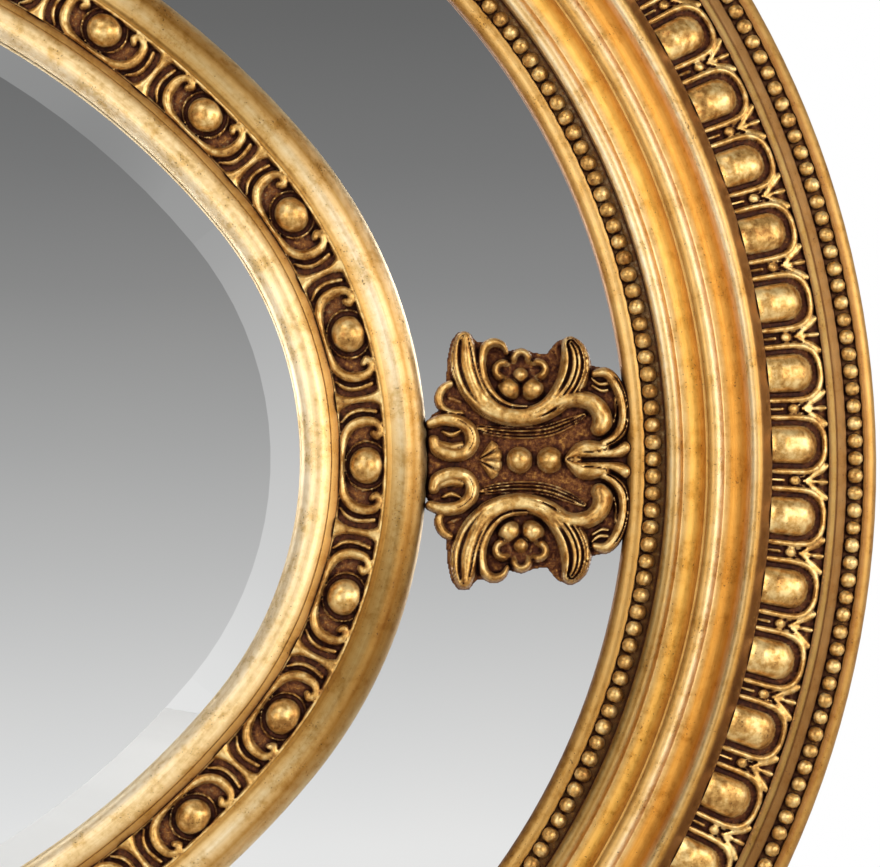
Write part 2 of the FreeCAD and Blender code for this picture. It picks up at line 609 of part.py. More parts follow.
def make_frames():
    outer_dowels = ("Sizes.outer_dowel_first", "Sizes.outer_dowel_second")
    outer = {}
    for side in ARCS:
        drillings = [board_drilling(side, "Derived.board_screw_offset", BOARD_SCREWS)]
        if side in ("upper_right", "lower_right"):
            drillings.append(bumper_drilling(side))
        if side == "upper_right":
            drillings.append(hanger_drilling())
        outer[side] = frame_segment("outer", side, outer_profile(), outer_dowels, drillings)
    inner = {}
    for side in ("right", "upper_right", "top"):
        drillings = [board_drilling(side, "Sizes.inner_screw_offset", INNER_SCREWS)]
        inner[side] = frame_segment("inner", side, inner_profile(), ("Sizes.inner_dowel",), drillings)
    nodes = list(outer.values()) + list(inner.values())
    for ring, made in (("outer", outer), ("inner", inner)):
        nodes.append(mirrored(made["right"], f"{ring}_frame_left", SIDEWAYS))
        nodes.append(mirrored(made["top"], f"{ring}_frame_bottom", UPRIGHT))
        nodes.append(mirrored(made["upper_right"], f"{ring}_frame_upper_left", SIDEWAYS))
    nodes.append(mirrored(outer["lower_right"], "outer_frame_lower_left", SIDEWAYS))
    lower = mirrored(inner["upper_right"], "inner_frame_lower_right", UPRIGHT)
    nodes.append(lower)
    nodes.append(mirrored(lower, "inner_frame_lower_left", SIDEWAYS))
    return nodes


# ---------------------------------------------------------------- helpers for grouped solids

def group(label, shapes):
    """A node that holds one or more separate solids."""
    feature = doc.addObject("Part::Feature", label)
    feature.Label = label
    feature.Shape = shapes[0] if len(shapes) == 1 else Part.makeCompound(shapes)
    return feature


def rod(base, radius, length, direction):
    return Part.makeCylinder(radius, length, base, direction)


TO_ROOM = Vector(0, -1, 0)


def countersunk(place, length):
    """A countersunk screw whose head lies flush at a place and whose shank points to the room."""
    shank = size("screw_diameter") / 2
    head_radius = size("screw_head") / 2
    depth = head_radius - shank
    cone = Part.makeCone(head_radius, shank, depth, place, TO_ROOM)
    stem = rod(place + TO_ROOM * depth, shank, length - depth, TO_ROOM)
    return cone.fuse(stem).removeSplitter()


def sunk_hole(place, length):
    """What is cut away for a countersunk screw: its own shape with the clearance all round."""
    spare = size("hole_clearance")
    shank = size("screw_diameter") / 2 + spare
    head_radius = size("screw_head") / 2 + spare
    depth = head_radius - shank
    cone = Part.makeCone(head_radius, shank, depth, place, TO_ROOM)
    return cone.fuse(rod(place, shank, length, TO_ROOM))


def mirror_places(places):
    """Places together with their mirror images, without repeats."""
    found = []
    for place in places:
        for x_sign in (1, -1):
            for z_sign in (1, -1):
                image = Vector(place.x * x_sign, place.y, place.z * z_sign)
                if all((image - other).Length > 1e-6 for other in found):
                    found.append(image)
    return found


def arc_places(offset, counts, height):
    """Screw places all round: those of the upper right quarter and their mirror images."""
    arcs = dict(zip(("right", "upper_right", "top"), arc_table()[:3]))
    places = []
    for side, arc in arcs.items():
        for step in range(counts[side]):
            turn = arc[3] + arc[4] * (step + 0.5) / counts[side]
            places.append(on_arc(arc, offset, turn, height))
    return mirror_places(places)


# ---------------------------------------------------------------- glass, boards and packing

def quarters(shape, joint):
    """Cut a plate into four along both axes, leaving a joint between the pieces."""
    reach = 2 * (size("base_half_length") + follows("outside_offset"))
    pieces = {}
    for x_name, x_sign in (("right", 1), ("left", -1)):
        for z_name, z_sign in (("upper", 1), ("lower", -1)):
            low_x = joint / 2 if x_sign > 0 else -joint / 2 - reach
            low_z = joint / 2 if z_sign > 0 else -joint / 2 - reach
            box = Part.makeBox(reach, reach, reach, Vector(low_x, -reach / 2, low_z))
            pieces[f"{z_name}_{x_name}"] = shape.common(box)
    return pieces


def make_glass():
    clearance = size("edge_clearance")
    thickness = size("centre_glass_thickness")
    face = size("centre_level")
    rim = size("centre_rabbet") - clearance
    bevel_start = rim - size("bevel_width")
    fall = thickness - size("bevel_edge")
    plate = oval_plate(rim, face - fall, size("bevel_edge"))
    crown = Part.makeLoft([oval_wire(rim, face - fall), oval_wire(bevel_start, face)], True, True)
    nodes = [group("centre_glass", [plate.fuse(crown).removeSplitter()])]
    outer_rim = follows("glass_wall") - clearance
    inner_rim = follows("inner_glass_wall") + clearance
    thickness = size("margin_glass_thickness")
    ring = oval_plate(outer_rim, size("glass_level"), thickness)
    ring = ring.cut(oval_plate(inner_rim, size("glass_level"), thickness))
    for name, piece in quarters(ring, size("glass_joint")).items():
        nodes.append(group(f"margin_glass_{name}", piece.Solids))
    return nodes


def make_boards():
    """The backing sheet of the centre glass, and three planks that close the back."""
    clearance = size("edge_clearance")
    behind_glass = size("centre_level") - size("centre_glass_thickness")
    sheet_rim = size("centre_rabbet") - clearance
    nodes = [group("centre_backing", [oval_plate(sheet_rim, behind_glass, size("backing_thickness"))])]
    board = oval_plate(follows("board_wall") - clearance, size("board_level"), size("board_thickness"))
    back = size("board_level") - size("board_thickness")
    for place in arc_places(follows("board_screw_offset"), BOARD_SCREWS, back):
        board = board.cut(sunk_hole(place, size("board_thickness")))
    for place in arc_places(size("inner_screw_offset"), INNER_SCREWS, back):
        board = board.cut(sunk_hole(place, size("board_thickness")))
    half = size("base_half_length") + follows("board_wall")
    plank = 2 * half / 3
    for number, name in enumerate(("left", "middle", "right")):
        low = -half + number * plank + size("plank_gap") / 2
        box = Part.makeBox(plank - size("plank_gap"), 2 * half, 2 * half, Vector(low, -half, -half))
        nodes.append(group(f"back_board_{name}", board.common(box).Solids))
    return nodes


def block_row(offset, count_by_side, near_level, far_level):
    """Small wooden blocks set round an oval between two levels."""
    width = size("block_width")
    length = size("block_length")
    arcs = arc_table()
    names = ("right", "upper", "top", "upper", "right", "upper", "top", "upper")
    box = Part.makeBox(width, near_level - far_level, length, Vector(-width / 2, 0, -length / 2))
    blocks = []
    for arc, name in zip(arcs, names):
        count = count_by_side[name]
        for step in range(count):
            turn = arc[3] + arc[4] * (step + 1) / (count + 1)
            blocks.append(seated(box, arc, offset, turn, near_level))
    return blocks


def make_blocks():
    """Blocks that press the glass into its rabbets, standing on the face of the back board."""
    width = size("block_width")
    clearance = size("edge_clearance")
    glass_back = size("glass_level") - size("margin_glass_thickness")
    few = {"right": 2, "upper": 1, "top": 2}
    outer_row = follows("glass_wall") - clearance - width / 2 - size("block_gap")
    inner_row = follows("inner_glass_wall") + clearance + width / 2
    margin = block_row(outer_row, few, glass_back, size("board_level"))
    margin += block_row(inner_row, few, glass_back, size("board_level"))
    sheet_back = size("centre_level") - size("centre_glass_thickness") - size("backing_thickness")
    centre_row = size("centre_rabbet") - clearance - width / 2 - size("centre_block_gap")
    centre = block_row(centre_row, few, sheet_back, size("board_level"))
    return [group("margin_glass_blocks", margin), group("centre_glass_blocks", centre)]


# ---------------------------------------------------------------- course ornament

def bead_string(label, offset, height):
    radius = size("bead_diameter") / 2
    lengths = []
    for arc in arc_table():
        centre_x, centre_z, base_radius, start, sweep = arc
        circle = Part.Circle(Vector(base_radius + offset, 0, 0), Vector(0, 0, 1), radius)
        face = Part.Face(Part.Wire(circle.toShape()))
        ring = face.revolve(Vector(0, 0, 0), Vector(0, -1, 0), sweep)
        ring.Placement = Placement(Vector(centre_x, level(height + radius), centre_z),
                                   Rotation(Vector(0, -1, 0), start))
        lengths.append(ring)
    return group(label, lengths)


def egg_shape():
    """Half an egg, flat underneath and cut square at its inner end. X outwards, top towards -Y."""
    radius = size("egg_width") / 2
    straight = size("egg_length") - radius
    barrel = Part.makeCylinder(radius, straight, Vector(0, 0, 0), Vector(1, 0, 0))
    nose = Part.makeSphere(radius, Vector(straight, 0, 0), Vector(1, 0, 0))
    keep = Part.makeBox(2 * size("egg_length"), radius, 2 * radius, Vector(0, -radius, -radius))
    return barrel.fuse(nose).common(keep).removeSplitter()


def ball_shape():
    """A ball cut off flat where it meets its course."""
    radius = size("ball_diameter") / 2
    lift = size("ball_lift")
    ball = Part.makeSphere(radius, Vector(0, -lift, 0))
    keep = Part.makeBox(2 * radius, 2 * radius, 2 * radius, Vector(-radius, -2 * radius, -radius))
    return ball.common(keep)


def make_courses():
    seat = size("seat_clearance")
    sight_beads = follows("sight_bead_start") + size("sight_bead_inset")
    edge_beads = follows("edge_bead_start") + size("edge_bead_channel") / 2
    egg = egg_shape()
    run = size("egg_band_width")
    fall = size("egg_band_top") - size("egg_band_foot")
    lean = math.degrees(math.atan2(fall, run))
    start = follows("egg_band_start") + size("egg_inset")
    height = size("egg_band_top") - fall * size("egg_inset") / run + seat
    egg_middle = start + size("egg_length") / 2
    eggs = [seated(egg, arc, start, turn, height, lean)
            for arc, turn in stations(egg_middle, size("egg_pitch"), size("egg_phase"))]
    ball = ball_shape()
    middle = (follows("ball_band_start") + follows("ball_band_end")) / 2 + size("ball_shift")
    balls = [seated(ball, arc, middle, turn, size("ball_band_level"))
             for arc, turn in stations(middle, size("ball_pitch"), size("ball_phase"))]
    return [
        bead_string("sight_bead_string", sight_beads, size("sight_bead_level")),
        bead_string("edge_bead_string", edge_beads, size("edge_bead_level")),
        group("egg_course", eggs),
        group("ball_course", balls),
    ]


# ---------------------------------------------------------------- cartouches

# Upper half of a cartouche's outline, from the inner frame round to the outer frame, as shares of
# its length and of half its height. Each pair is the middle and the end of one arc.
CARTOUCHE_START = (0.0, 0.0)
CARTOUCHE_ARCS = [
    ((0.005, 0.20), (0.055, 0.37)),
    ((0.040, 0.50), (0.097, 0.60)),
    ((0.105, 0.80), (0.135, 0.95)),
    ((0.176, 1.00), (0.214, 0.94)),
    ((0.226, 0.90), (0.245, 0.88)),
    ((0.324, 0.93), (0.390, 0.88)),
    ((0.459, 0.88), (0.525, 0.82)),
    ((0.552, 0.80), (0.577, 0.81)),
    ((0.620, 0.91), (0.690, 0.95)),
    ((0.765, 0.88), (0.806, 0.73)),
    ((0.875, 0.71), (0.922, 0.63)),
    ((0.978, 0.40), (1.000, 0.00)),
]


def cartouche_ground():
    """The flat ground of a cartouche in its own frame: X outwards, Z along the oval."""
    length = size("cartouche_length")
    half = size("cartouche_height") / 2
    edges = []
    for sign in (1, -1):
        start = CARTOUCHE_START
        for middle, end in CARTOUCHE_ARCS:
            places = [Vector(x * length, 0, sign * z * half) for x, z in (start, middle, end)]
            edges.append(Part.Arc(*places).toShape())
            start = end
    outline = Part.Wire(Part.sortEdges(edges)[0])
    return Part.Face(outline).extrude(TO_ROOM * size("cartouche_base"))


# The pairs of scrolls on a cartouche: the place of the upper one as shares of the length and of half
# the height, its radius, its thickness as a share of the great scrolls', and its start and sweep in
# degrees. The lower one is its mirror image.
SCROLLS = [
    (0.455, 0.80, "horn_scroll_radius", 1.0, 170, 200),
    (0.760, 0.30, "side_scroll_radius", 0.9, -70, 180),
    (0.125, 0.19, "volute_radius", 0.8, 0, 360),
]


def scroll(place, radius, wire, first, sweep):
    """A round scroll lying on the ground: a piece of a torus about a place, turned to its start."""
    ring = Part.makeTorus(radius, wire, Vector(0, 0, 0), TO_ROOM, -180, 180, sweep)
    spin = Rotation(Vector(0, -1, 0), first)
    ring.Placement = Placement(place, spin.multiply(ring.Placement.Rotation))
    return ring


def cartouche_relief():
    """Scrolls, flowers, balls and a leaf that stand on the ground, sunk part way into it."""
    length = size("cartouche_length")
    half = size("cartouche_height") / 2
    top = -size("cartouche_base")
    pieces = []
    for sign in (1, -1):
        flower = Vector(size("flower_place"), top, sign * size("flower_rise"))
        petals = Part.makeCone(size("flower_diameter") / 2, size("flower_top_diameter") / 2,
                               size("flower_relief"), flower, TO_ROOM)
        boss = Part.makeSphere(size("flower_boss_diameter") / 2,
                               flower + TO_ROOM * size("flower_relief"))
        pieces += [petals, boss]
        for x_share, z_share, radius, thickness, first, sweep in SCROLLS:
            place = Vector(x_share * length, top, sign * z_share * half)
            start = first if sign > 0 else -(first + sweep)
            wire = thickness * size("scroll_wire") / 2
            pieces.append(scroll(place, size(radius), wire, start, sweep))
    for name in ("first_ball_place", "second_ball_place"):
        place = Vector(size(name), top - size("middle_ball_lift"), 0)
        pieces.append(Part.makeSphere(size("middle_ball_diameter") / 2, place))
    pieces.append(Part.makeCone(size("leaf_tip_diameter") / 2, size("leaf_end_diameter") / 2,
                                size("leaf_length"), Vector(size("leaf_place"), top, 0),
                                Vector(1, 0, 0)))
    return pieces


def make_cartouches():
    """Four cartouches on the margin glass, trimmed to the two frames that they lie between."""
    lie = size("glass_level") + size("seat_clearance")
    tall = size("cartouche_base") + size("cartouche_relief_limit")
    gap = size("seat_clearance")
    blank = oval_plate(follows("sight_offset") - gap, lie + tall, tall)
    blank = blank.cut(oval_plate(size("inner_frame_width") + gap, lie + tall, tall))
    shape = cartouche_ground()
    for piece in cartouche_relief():
        shape = shape.fuse(piece)
    along = size("base_half_length") + size("inner_frame_width")
    up = size("base_half_height") + size("inner_frame_width")
    places = {"right": (along, 0, 0), "top": (0, up, 90), "left": (-along, 0, 180),
              "bottom": (0, -up, 270)}
    nodes = []
    for name, (x, z, turn) in places.items():
        copy = shape.copy()
        copy.Placement = Placement(Vector(x, level(lie), z), Rotation(Vector(0, -1, 0), turn))
        trimmed = copy.common(blank).removeSplitter()
        nodes.append(group(f"cartouche_{name}", trimmed.Solids))
    return nodes


# ---------------------------------------------------------------- fasteners

def make_fasteners():
    back = size("board_level") - size("board_thickness")
    length = size("board_screw_length")
    board = [countersunk(place, length)
             for place in arc_places(follows("board_screw_offset"), BOARD_SCREWS, back)]
    inner = [countersunk(place, length)
             for place in arc_places(size("inner_screw_offset"), INNER_SCREWS, back)]
    nodes = [group("back_board_screws", board), group("inner_frame_screws", inner)]
    joints = [(arc, arc[3]) for arc in arc_table()]
    for label, offsets in (("outer_frame_dowels", ("outer_dowel_first", "outer_dowel_second")),
                           ("inner_frame_dowels", ("inner_dowel",))):
        dowels = []
        for arc, turn in joints:
            for name in offsets:
                angle = math.radians(turn)
                along = Vector(-math.sin(angle), 0, math.cos(angle))
                middle = on_arc(arc, size(name), turn, size("dowel_level"))
                half = size("dowel_length") / 2
                dowels.append(rod(middle - along * half, size("dowel_diameter") / 2, 2 * half, along))
        nodes.append(group(label, dowels))
    return nodes


# ---------------------------------------------------------------- hangers and bumpers

def hanger_strap(label):
    """A flat strap with a knuckle at its top, in its own frame: hinge line at the origin."""
    body = doc.addObject("PartDesign::Body", label)
    body.Label = label
    knuckle_back = "Derived.ring_height"
    side = new_sketch(body, f"{label}_plate", "YZ_Plane")
    draw_outline(side, [
        (f"-{knuckle_back}", "-Sizes.strap_length", None),
        (f"Sizes.strap_thickness - {knuckle_back}", "-Sizes.strap_length", None),
        (f"Sizes.strap_thickness - {knuckle_back}", "-Derived.knuckle_radius", None),
        ("0", "-Derived.knuckle_radius", ("Derived.knuckle_radius", "DistanceX", "0")),
        ("0", "Derived.knuckle_radius", None),
        (f"-{knuckle_back}", "Derived.knuckle_radius", None),
    ])
    draw_circle(side, "0", "0", "Derived.knuckle_bore")
    pad = body.newObject("PartDesign::Pad", f"{label}_pad")
    pad.Profile = side
    pad.Midplane = True
    pad.setExpression("Length", "Sizes.strap_width")
    doc.recompute()
    holes = new_sketch(body, f"{label}_holes", "XZ_Plane",
                       set_off("Derived.ring_height - Sizes.strap_thickness"))
    for drop in ("Sizes.strap_screw_first", "Sizes.strap_screw_second"):
        draw_circle(holes, "0", f"-{drop}", SCREW_BORE)
    pocket(body, holes, "Sizes.strap_thickness", True)
    return body


def d_ring(label):
    """A D-ring of round wire: a straight bar on the hinge line, two arms and a half circle."""
    body = doc.addObject("PartDesign::Body", label)
    body.Label = label
    path = new_sketch(body, f"{label}_path", "XZ_Plane")
    half = "Sizes.ring_half_width"
    corner = "Sizes.ring_corner"
    arm = "Sizes.ring_arm"
    rise = "(1 - sqrt(2) / 2)"
    draw_outline(path, [
        (f"-({half} - {corner})", "0", None),
        (f"{half} - {corner}", "0", f"-{corner} * {rise}"),
        (half, f"-{corner}", None),
        (half, f"-({corner} + {arm})", (f"-{half}", "DistanceY", f"-({corner} + {arm})")),
        (f"-{half}", f"-({corner} + {arm})", None),
        (f"-{half}", f"-{corner}", f"-{corner} * {rise}"),
    ])
    wire = new_sketch(body, f"{label}_wire", "YZ_Plane")
    draw_circle(wire, "0", "0", "Sizes.ring_wire / 2")
    pipe = body.newObject("PartDesign::AdditivePipe", f"{label}_pipe")
    pipe.Profile = wire
    pipe.Spine = path
    doc.recompute()
    return body


def make_hangers():
    nodes = []
    screws = []
    back = -size("strap_thickness")
    for side, sign in (("right", ""), ("left", "-")):
        for piece in (hanger_strap(f"hanger_strap_{side}"), d_ring(f"hanger_ring_{side}")):
            piece.setExpression("Placement.Base.x", f"{sign}Derived.hanger_x")
            piece.setExpression("Placement.Base.y", "Derived.back_plane + Derived.ring_height")
            piece.setExpression("Placement.Base.z", "Derived.hanger_z")
            nodes.append(piece)
        x = follows("hanger_x") * (-1 if sign else 1)
        for name in ("strap_screw_first", "strap_screw_second"):
            place = Vector(x, level(back), follows("hanger_z") - size(name))
            screws.append(rod(place, size("screw_diameter") / 2, size("hanger_screw_length"), TO_ROOM))
    nodes.append(group("hanger_screws", screws))
    return nodes


def make_bumpers():
    nodes = []
    screws = []
    thickness = size("bumper_thickness")
    places = mirror_places([Vector(follows("bumper_x"), level(0), follows("bumper_z"))])
    names = ("upper_right", "lower_right", "upper_left", "lower_left")
    for name, place in zip(names, places):
        disc = rod(place, size("bumper_diameter") / 2, thickness, -TO_ROOM)
        head = place + Vector(0, thickness / 2, 0)
        mouth = rod(head, size("screw_head") / 2 + size("hole_clearance"), thickness, -TO_ROOM)
        bore = sunk_hole(head, thickness)
        nodes.append(group(f"bumper_{name}", [disc.cut(mouth).cut(bore)]))
        screws.append(countersunk(head, size("hanger_screw_length")))
    nodes.append(group("bumper_screws", screws))
    return nodes


# ---------------------------------------------------------------- build, check and write

def check(nodes):
    for item in doc.Objects:
        for word in ("Invalid", "Error"):
            if word in item.State:
                raise RuntimeError(f"{item.Name} is {item.State}")
    for node in nodes:
        shape = node.Shape
        if shape.isNull() or not shape.isValid() or not shape.Solids:
            raise RuntimeError(f"{node.Label} has no valid solid")


def main():
    nodes = make_frames()
    nodes += make_glass()
    nodes += make_boards()
    nodes += make_blocks()
    nodes += make_courses()
    nodes += make_cartouches()
    nodes += make_fasteners()
    nodes += make_hangers()
    nodes += make_bumpers()
    doc.recompute()
    check(nodes)
    os.makedirs("parts", exist_ok=True)
    for node in nodes:
        node.Shape.exportStep(f"parts/{node.Label}.step")
        solids = len(node.Shape.Solids)
        print(f"{node.Label}: {solids} solids, {node.Shape.Volume / 1000:.1f} cm3")


main()
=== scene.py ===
# Looks of the oval gilt margin mirror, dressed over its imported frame. Sizes are in millimetres here
# and are turned to metres by MM. "Offset" is the distance outwards from the base oval, the sight edge
# of the inner frame, and "height" is the distance from the back of the outer frame to the room.
import math

import bpy
import numpy as np
from mathutils import Matrix, Vector


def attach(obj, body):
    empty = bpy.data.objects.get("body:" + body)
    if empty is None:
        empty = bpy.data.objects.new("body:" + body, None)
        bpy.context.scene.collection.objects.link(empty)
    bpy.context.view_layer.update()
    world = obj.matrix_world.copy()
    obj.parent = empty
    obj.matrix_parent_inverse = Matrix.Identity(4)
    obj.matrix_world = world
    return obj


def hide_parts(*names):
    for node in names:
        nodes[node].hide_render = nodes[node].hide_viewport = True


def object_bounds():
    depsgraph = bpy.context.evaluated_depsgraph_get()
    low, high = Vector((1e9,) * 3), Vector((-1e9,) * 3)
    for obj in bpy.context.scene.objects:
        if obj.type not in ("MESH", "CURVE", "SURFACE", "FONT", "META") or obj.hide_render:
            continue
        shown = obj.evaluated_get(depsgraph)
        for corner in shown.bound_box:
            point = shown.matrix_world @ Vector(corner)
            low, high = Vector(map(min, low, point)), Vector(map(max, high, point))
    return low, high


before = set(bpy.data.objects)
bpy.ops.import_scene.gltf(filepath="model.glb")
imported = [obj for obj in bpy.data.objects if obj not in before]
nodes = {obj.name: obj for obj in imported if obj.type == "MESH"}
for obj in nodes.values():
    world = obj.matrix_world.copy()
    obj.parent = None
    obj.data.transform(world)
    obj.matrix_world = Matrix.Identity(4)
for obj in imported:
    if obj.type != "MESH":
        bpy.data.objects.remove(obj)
cad_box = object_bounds()

MM = 0.001
BACK_PLANE = 24.0

# The base oval
HALF_LENGTH = 400.0
HALF_HEIGHT = 235.0
END_RADIUS = 149.4
END_TURN = 39.56
SHOULDER_TURN = 68.87

# Offsets and heights of the mouldings
INNER_FRAME = 50.4
SIGHT_BEADS = 141.0
SIGHT_BEAD_FLOOR = 27.4
EGG_BAND_START = 187.2
EGG_BAND_END = 210.6
EGG_BAND_TOP = 44.8
EGG_BAND_FOOT = 35.8
EGG_ROW = 197.8
EDGE_BEADS = 221.2
EDGE_BEAD_FLOOR = 33.0
BALL_BAND_START = 15.6
BALL_BAND_END = 34.2
BALL_BAND_LEVEL = 29.0
GLASS_LEVEL = 22.0

# Course ornament
EGG_PITCH = 28.6
EGG_PHASE = 0.175
BALL_PITCH = 53.6
BALL_PHASE = -0.047
BALL_OFFSET = 26.0
SIGHT_BEAD_PITCH = 6.84
EDGE_BEAD_PITCH = 6.96
# How high a bead's middle stands over its channel, and how far behind its middle it is cut off
BEAD_LIFT = 2.2
BEAD_CUT = 1.2
# How far the underside of a carved course lies under its floor
COURSE_SUNK = 1.2
# The height that a shape gives outside itself, far below everything
NOWHERE = -1e3
# The height of a cartouche's grid outside its outline, below the cut that frees it
CARTOUCHE_BELOW = -2.0


# ---------------------------------------------------------------- the oval

def make_arcs():
    """The eight arcs as (centre x, centre z, radius, start, sweep) in mm and radians."""
    first = math.radians(END_TURN)
    second = math.radians(SHOULDER_TURN)
    height = HALF_HEIGHT - END_RADIUS * math.sin(first)
    length = HALF_LENGTH - END_RADIUS * (1 - math.cos(first))
    climb = math.sin(second) - math.sin(first)
    run = math.cos(first) - math.cos(second)
    both = climb * math.cos(second) - (1 - math.sin(second)) * run
    shoulder = (height * math.cos(second) - length * (1 - math.sin(second))) / both
    crown = (climb * length - run * height) / both
    end_x = HALF_LENGTH - END_RADIUS
    shoulder_x = end_x - (shoulder - END_RADIUS) * math.cos(first)
    shoulder_z = -(shoulder - END_RADIUS) * math.sin(first)
    crown_z = HALF_HEIGHT - crown
    turn = second - first
    flat = math.pi - 2 * second
    return [
        (end_x, 0.0, END_RADIUS, -first, 2 * first),
        (shoulder_x, shoulder_z, shoulder, first, turn),
        (0.0, crown_z, crown, second, flat),
        (-shoulder_x, shoulder_z, shoulder, math.pi - second, turn),
        (-end_x, 0.0, END_RADIUS, math.pi - first, 2 * first),
        (-shoulder_x, -shoulder_z, shoulder, math.pi + first, turn),
        (0.0, -crown_z, crown, math.pi + second, flat),
        (shoulder_x, -shoulder_z, shoulder, 2 * math.pi - second, turn),
    ]


ARCS = make_arcs()


def arc_lengths(offset):
    return [sweep * (radius + offset) for _, _, radius, _, sweep in ARCS]


def oval_length(offset):
    return sum(arc_lengths(offset))


def on_arc(arc, angle, offset, height):
    """A place on the oval in metres."""
    centre_x, centre_z, radius = arc[:3]
    reach = radius + offset
    return Vector((centre_x + reach * math.cos(angle), BACK_PLANE - height,
                   centre_z + reach * math.sin(angle))) * MM


def stations(offset, pitch, phase):
    """Evenly spaced (arc, angle) places, counted from the right-hand end of the long axis."""
    lengths = arc_lengths(offset)
    total = sum(lengths)
    count = round(total / pitch)
    places = []
    for step in range(count):
        along = ((step + phase) * total / count + lengths[0] / 2) % total
        for arc, length in zip(ARCS, lengths):
            if along < length:
                places.append((arc, arc[3] + arc[4] * along / length))
                break
            along -= length
    return places


# ---------------------------------------------------------------- modelling helpers

def deselect():
    if bpy.context.mode != "OBJECT":
        bpy.ops.object.mode_set(mode="OBJECT")
    bpy.ops.object.select_all(action="DESELECT")


def choose(obj):
    """Make this the one selected and active object."""
    deselect()
    obj.select_set(True)
    bpy.context.view_layer.objects.active = obj


def start_editing(obj):
    choose(obj)
    bpy.ops.object.mode_set(mode="EDIT")
    bpy.ops.mesh.select_all(action="SELECT")


def finish_editing():
    """Turn every face outwards and leave edit mode."""
    bpy.ops.mesh.select_all(action="SELECT")
    bpy.ops.mesh.normals_make_consistent(inside=False)
    bpy.ops.object.mode_set(mode="OBJECT")


def new_piece(name):
    """Name the primitive that was just added."""
    obj = bpy.context.active_object
    obj.name = name
    obj.data.name = name
    return obj


def copy_to(obj, matrix, name):
    """A copy with its own mesh, moved by a matrix that goes into the mesh."""
    copy = obj.copy()
    copy.data = obj.data.copy()
    copy.name = name
    copy.data.transform(matrix)
    bpy.context.scene.collection.objects.link(copy)
    return copy


def joined(pieces, name):
    deselect()
    for piece in pieces:
        piece.select_set(True)
    bpy.context.view_layer.objects.active = pieces[0]
    bpy.ops.object.join()
    return new_piece(name)


def smooth(obj, angle=40):
    choose(obj)
    bpy.ops.object.shade_smooth_by_angle(angle=math.radians(angle))


def write_attribute(obj, name, values, kind="FLOAT", field="value"):
    """Store a number or a colour at each vertex for a material to read."""
    attribute = obj.data.attributes.new(name, kind, "POINT")
    attribute.data.foreach_set(field, np.asarray(values, np.float32).ravel())


def positions(obj):
    places = np.zeros(len(obj.data.vertices) * 3, np.float32)
    obj.data.vertices.foreach_get("co", places)
    return places.reshape(-1, 3)


def place_vertices(obj, x, y, z):
    places = np.stack([x, y, z], axis=1).astype(np.float32)
    obj.data.vertices.foreach_set("co", places.ravel())
    obj.data.update()


# ---------------------------------------------------------------- mouldings

def crowned(entries, steps=6):
    """Points of a section: (offset, height, crown) entries whose crowned edges are sampled."""
    points = []
    for index, (x, y, crown) in enumerate(entries):
        points.append((x, y))
        if not crown:
            continue
        next_x, next_y, _ = entries[(index + 1) % len(entries)]
        chord = math.hypot(next_x - x, next_y - y)
        across = (-(next_y - y) / chord, (next_x - x) / chord)
        radius = (chord ** 2 / 4 + crown ** 2) / (2 * abs(crown))
        for step in range(1, steps):
            share = step / steps
            along = (share - 0.5) * chord
            rise = math.sqrt(radius ** 2 - along ** 2) - (radius - abs(crown))
            rise *= math.copysign(1, crown)
            points.append((x + (next_x - x) * share + across[0] * rise,
                           y + (next_y - y) * share + across[1] * rise))
    return points


def eased(points, ease=0.45, sharp=math.radians(24)):
    """Round each sharp corner of a closed section with three points."""
    result = []
    count = len(points)
    for index in range(count):
        before = Vector(points[index - 1])
        here = Vector(points[index])
        after = Vector(points[(index + 1) % count])
        to_before = before - here
        to_after = after - here
        turn = math.pi - to_before.angle(to_after)
        if turn < sharp:
            result.append(tuple(here))
            continue
        reach = min(ease, to_before.length * 0.45, to_after.length * 0.45)
        first = here + to_before.normalized() * reach
        last = here + to_after.normalized() * reach
        middle = (first + last) * 0.25 + here * 0.5
        result += [tuple(first), tuple(middle), tuple(last)]
    return result


def swept(name, section, steps_per_radian=32):
    """Draw a section point by point across the oval, then spin it round the eight arcs in turn."""
    start_arc = ARCS[0]
    angle = start_arc[3]
    outward = Vector((math.cos(angle), 0, math.sin(angle)))
    first = on_arc(start_arc, angle, *section[0])
    deselect()
    bpy.ops.mesh.primitive_plane_add(size=MM, location=(0, 0, 0))
    obj = new_piece(name)
    start_editing(obj)
    bpy.ops.mesh.merge(type="CENTER")
    bpy.ops.transform.translate(value=first)
    for here, there in zip(section, section[1:]):
        step = outward * (there[0] - here[0]) * MM + Vector((0, here[1] - there[1], 0)) * MM
        bpy.ops.mesh.extrude_vertices_move(TRANSFORM_OT_translate={"value": step})
    bpy.ops.mesh.select_all(action="SELECT")
    for centre_x, centre_z, radius, _, sweep in ARCS:
        steps = max(6, round(sweep * steps_per_radian * math.sqrt(radius / END_RADIUS)))
        bpy.ops.mesh.spin(steps=steps, angle=sweep, center=(centre_x * MM, 0, centre_z * MM),
                          axis=(0, 1, 0))
    bpy.ops.mesh.select_all(action="SELECT")
    bpy.ops.mesh.remove_doubles(threshold=0.02 * MM)
    # bridge the two open edges left by the first and the last point of the section
    bpy.ops.mesh.select_all(action="DESELECT")
    bpy.ops.mesh.select_non_manifold(extend=False, use_wire=False, use_boundary=True,
                                     use_multi_face=False, use_non_contiguous=False, use_verts=False)
    bpy.ops.mesh.bridge_edge_loops()
    finish_editing()
    return obj


